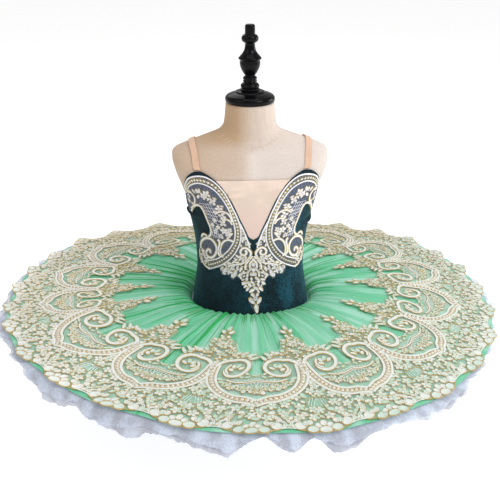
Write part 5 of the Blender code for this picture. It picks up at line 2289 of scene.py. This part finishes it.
@dataclass
class Skirt:
    """The gathered plate and the net layers under it.

    The nets' hang is rows of turn and of how far they hang below the plate's edge, in millimetres.
    Lying and hanging are the numbers of a net's rows inside the plate's edge and beyond it.
    """

    fine: int = 16
    rows: int = 34
    plate_edge: float = 426.5 * MM
    seed: int = 5
    net_columns: int = 900
    lying: int = 8
    hanging: int = 9
    hang: Points = (
        (-90, 24), (-84, 30), (-80, 34), (-76, 21), (-72, 8), (-68, 3), (-64, 6), (-60, 8), (-56, 17),
        (-52, 26), (-48, 31), (-44, 23), (-40, 14), (-36, 27), (-32, 31), (-28, 29), (-24, 20), (-20, 14),
        (-16, 20), (-12, 24), (-8, 30), (-4, 7), (-1, 0), (2, 20), (4, 28), (6, 16), (8, 1), (10, 14),
        (12, 24), (16, 30), (20, 9), (24, 7), (28, 13), (32, 15), (36, 14), (40, 19), (44, 12), (48, 0),
        (52, 3), (60, -3), (66, 0), (72, -4), (80, -2), (90, 10),
    )
    # each layer is the same white net; the middle and lower layers' darker colours are painted shade under
    # the upper one
    layers: tuple[NetLayer, ...] = (
        NetLayer("upper", (0.53, 0.59, 0.69), (0.34, 0.36, 0.42), 0.0, 8.0, 3.0, 439.0, 0.55, 1),
        NetLayer("middle", (0.46, 0.47, 0.55), (0.24, 0.25, 0.30), 14.0, 17.0, 6.4, 435.0, 0.8, 2),
        NetLayer("lower", (0.47, 0.51, 0.60), (0.19, 0.20, 0.25), 31.0, 26.0, 9.8, 431.0, 1.0, 3),
    )

    def build(self) -> None:
        """Makes the plate and the nets."""
        self.plate()
        for layer in self.layers:
            self.net_layer(layer)
        LOG.info("skirt gathered in %d pleats over %d nets", PLEATS, len(self.layers))

    def pleat_height(self, phase: Array) -> Array:
        """Shape of one pleat, from -1 to 1: a sharp fold, a dip beside it and a broad crown."""
        q = phase**0.72
        return 0.8 * np.cos(2 * np.pi * q) + 0.2 * np.cos(4 * np.pi * q)

    def plate(self) -> None:
        """The gathered green tulle, as one thin shell."""
        rng = np.random.default_rng(self.seed)
        shift = rng.uniform(-0.2, 0.2, PLEATS)
        bounds = np.append(np.arange(PLEATS) + shift, PLEATS + shift[0])
        deep = rng.uniform(0.35, 0.85, PLEATS)
        p = np.arange(PLEATS * self.fine) / self.fine
        i = p.astype(int)
        phase = p - i
        turn = 360 / PLEATS * (bounds[i] + phase * (bounds[i + 1] - bounds[i]))
        share = np.linspace(0, 1, self.rows)[:, None] ** 1.25
        first = TORSO.join_radius(turn, JOIN_HEIGHT) + SKIN_GAP + VELVET + 0.6 * MM
        middle = JOIN_RADIUS + share * (self.plate_edge - JOIN_RADIUS)
        depth = np.minimum(PLATE.pleat_depth(middle), 2.4 * MM) * deep[i]
        boost = 1 + 0.6 * np.exp(-(((middle - 0.128) / 0.022) ** 2))
        gather = 0.7 * MM * np.cos(2 * np.pi * (p * 3 + 0.13 * i))
        gather = gather * np.clip(1 - (middle - 0.106) / 0.035, 0, 1)
        height = PLATE.middle(turn, middle) + self.pleat_height(phase) * depth * boost + gather
        height[0] = JOIN_HEIGHT + 0.4 * MM
        ruffle = 0.8 * MM * np.cos(2 * np.pi * p) * np.clip(1 - share * 14, 0, 1)
        radius = first + share * (self.plate_edge - first) + np.abs(ruffle)
        along = (middle - JOIN_RADIUS) / (PLATE_RADIUS - JOIN_RADIUS)
        uv = np.stack(np.broadcast_arrays(np.append(p, PLEATS) / PLEATS, along), -1)
        flat = grid_mesh(ring_points(turn, radius, height), closed=True, uv=uv)
        piece = flat.build("tulle_plate", TulleFinish().build())
        settle("green_tulle", "skirt_plate", piece)

    def drop(self, turn: Array) -> Array:
        """How far the nets hang below the plate's edge.

        Args:
            turn: where, in degrees.

        Returns:
            Millimetres.
        """
        side = (turn + 180) % 360 - 180
        front = np.where(np.abs(side) > 90, np.sign(side) * (180 - np.abs(side)), side)
        return np.interp(front, *zip(*self.hang))

    def points_cut(self, seed: int) -> Array:
        """The hand-cut points of a net's edge, column by column, in millimetres.

        Args:
            seed: the seed.

        Returns:
            How much longer the net is at each column.
        """
        rng = np.random.default_rng(seed)
        count = self.net_columns
        jag = rng.uniform(-0.9, 0.9, count)
        for every, low, high in ((10, -5.5, 4.0), (4, -2.6, 2.0)):
            knots = rng.uniform(low, high, count // every)
            places = np.arange(count // every + 1)
            jag = jag + np.interp(np.arange(count) / every, places, np.append(knots, knots[0]))
        return jag

    def net_layer(self, net: NetLayer) -> None:
        """One net layer that lies under the plate and hangs over its edge, hand-cut in points.

        Args:
            net: the layer.
        """
        count, lying = self.net_columns, self.lying
        turn = np.arange(count) * 360 / count
        bearing = np.radians(turn)
        slow = 3.0 * np.sin(11 * bearing + net.seed * 2) + 2.6 * np.sin(29 * bearing + net.seed * 5)
        drop = self.drop(turn)
        hang = np.maximum(drop * net.part * 1.12 + slow * 0.6 + self.points_cut(net.seed) - net.gap, -1.5)
        lie = np.linspace(0, 1, lying)[:, None]
        fall = np.linspace(0, 1, self.hanging + 1)[1:, None]
        seam = (TORSO.join_radius(turn, JOIN_HEIGHT - net.seam_drop * MM) + SKIN_GAP + VELVET) / MM + 0.7
        rim = net.edge - 5.0 - 1.1 * np.clip(6 - drop, 0, 9)
        fold = 3.0 * np.cos(70 * bearing + 2.5 * np.sin(9 * bearing))
        fold = fold + 1.3 * np.cos(123 * bearing + np.sin(7 * bearing))
        reach = rim + 0.12 * hang
        r = np.concatenate([seam + (rim - seam) * lie, rim + (reach + 5.0 - rim) * np.sin(fall * np.pi / 2)])
        r[lying:] += fold * fall
        r[:lying] += fold * 0.1 * lie
        sunk = net.seam_drop + (net.gap - net.seam_drop) * lie + 0 * turn
        below = np.concatenate([sunk, net.gap + hang * (0.25 * fall + 0.75 * fall**1.6)])
        rise = SmoothTable(PLATE.rings).at(np.clip(r, 126, PLATE_RADIUS / MM))[..., 0]
        rise[:lying] *= np.minimum(1.0, lie / 0.22)
        z = JOIN_HEIGHT + PLATE.slow_wave(turn, np.minimum(r * MM, PLATE_RADIUS)) + (rise - below) * MM
        z[lying:] += (0.4 * fold * fall) * MM
        along = np.concatenate([lie * 0.85, 0.85 + fall * 0.15])
        uv = np.stack(np.broadcast_arrays(np.arange(count + 1) / count, along), -1)
        finish = NetFinish(f"white_net_{net.name}", net.light, net.shade, net.shift).build()
        piece = grid_mesh(ring_points(turn, r * MM, z), closed=True, uv=uv).build(f"net_{net.name}", finish)
        settle("white_net", f"net_layer_{net.name}", piece)


# The studio


@dataclass
class Studio:
    """The plain pale floor, soft lights and the camera at the photograph's angle."""

    camera_place: Triple = (-0.1055, -1.508, 0.899)
    pitch: float = 22.3
    lens: float = 66.528
    sensor: float = 36.0
    sky: float = 0.44
    light_aim: Triple = (0, 0, 0.25)

    def build(self) -> None:
        """Makes the floor, the lights and the camera."""
        self.floor()
        self.lights()
        self.camera()

    def floor(self) -> None:
        """A large pale floor under the form."""
        mesh = bpy.data.meshes.new("studio_floor")
        corners = [(-30, -30, -0.0005), (30, -30, -0.0005), (30, 30, -0.0005), (-30, 30, -0.0005)]
        mesh.from_pydata(corners, [], [(0, 1, 2, 3)])
        b = Board("pale_floor")
        b.set(Base_Color=(0.93, 0.93, 0.93), Roughness=0.9)
        b.set(Emission_Color=(1.0, 1.0, 1.0), Emission_Strength=0.54)
        mesh.materials.append(b.material)
        add_object("studio_floor", mesh)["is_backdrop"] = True

    def lights(self) -> None:
        """A bright even sky, a large soft light from above right with a crisp one in it, and others."""
        world = bpy.data.worlds.new("studio_sky")
        bpy.context.scene.world = world
        world.use_nodes = True
        inputs = world.node_tree.nodes["Background"].inputs
        inputs["Color"].default_value = (1.0, 1.0, 1.0, 1.0)
        inputs["Strength"].default_value = self.sky
        for name, place, size, power, colour in (
            ("key_light", (1.5, -1.5, 2.2), 1.4, 23.5, (1.0, 1.0, 1.0)),
            ("crisp_light", (1.75, -1.4, 2.2), 0.35, 4.5, (1.0, 1.0, 1.0)),
            ("top_light", (0.2, -0.1, 2.7), 1.8, 12.0, (1.0, 1.0, 1.0)),
            ("side_light", (1.9, 0.5, 0.8), 0.9, 12.0, (0.95, 0.98, 1.0)),
            ("fill_light", (-1.8, -1.0, 1.9), 1.6, 8.5, (1.0, 0.96, 0.92)),
            ("back_light", (-0.5, 1.9, 2.0), 1.5, 6.0, (1.0, 1.0, 1.0)),
        ):
            data = bpy.data.lights.new(name, "AREA")
            data.energy, data.size, data.color = power, size, colour
            light = add_object(name, data)
            light.location = place
            aim = Vector(self.light_aim) - Vector(place)
            light.rotation_euler = aim.to_track_quat("-Z", "Y").to_euler()

    def camera(self) -> None:
        """The camera, at the height and distance worked out from the photograph."""
        data = bpy.data.cameras.new("camera")
        data.lens, data.sensor_width = self.lens, self.sensor
        camera = add_object("camera", data)
        x, y, z = self.camera_place
        level = Vector((-x, -y, 0)).normalized()
        down = math.radians(self.pitch)
        aim = level * math.cos(down) - Vector((0, 0, math.sin(down)))
        camera.location = (x, y, z)
        camera.rotation_euler = aim.to_track_quat("-Z", "Y").to_euler()
        bpy.context.scene.camera = camera


class Gold(Enum):
    """The two golds of the dress's trim."""

    BORDER = (0.57, 0.41, 0.145)
    BODICE = (0.54, 0.42, 0.15)


def main() -> None:
    """Builds the studio, the form and the dress."""
    logging.basicConfig(level=logging.INFO, format="%(message)s")
    bpy.context.scene.view_settings.view_transform = "Standard"
    for extra in [o for o in bpy.data.objects if o.name in ("Cube", "Light", "Camera")]:
        bpy.data.objects.remove(extra)
    Studio().build()
    DressForm().build()
    Bodice().build()
    Skirt().build()
    kit = LaceKit()
    border, bodice = Gold.BORDER.value, Gold.BODICE.value
    SkirtLace(
        kit,
        GroundFinish("lace_net_on_tulle", (0.84, 0.95, 0.88), 0.33).build(),
        CordedFinish("ivory_gold_embroidery", (0.85, 0.86, 0.82), (0.50, 0.74, 0.60), border).build(),
        BeadFinish("pearls_and_gold", (0.88, 0.87, 0.80), border, (0.92, 0.95, 0.93)).build(),
    ).build()
    CupLace(
        kit,
        GroundFinish("lace_net_on_velvet", (0.29, 0.31, 0.44), 0.44).build(),
        # the last number is the strength of the painted light that this embroidery gives off
        CordedFinish("ivory_gold_on_velvet", (1.0, 0.96, 0.99), (0.74, 0.70, 0.78), bodice, 0.24).build(),
        BeadFinish("pearls_on_velvet", (0.95, 0.93, 0.90), bodice, (0.30, 0.38, 0.62)).build(),
    ).build()
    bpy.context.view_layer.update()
    shown = bpy.context.evaluated_depsgraph_get()
    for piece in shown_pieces():
        mesh = piece.evaluated_get(shown).data
        LOG.info("%-26s %7d triangles", piece.name, sum(p.loop_total - 2 for p in mesh.polygons))


if __name__ == "__main__":
    main()
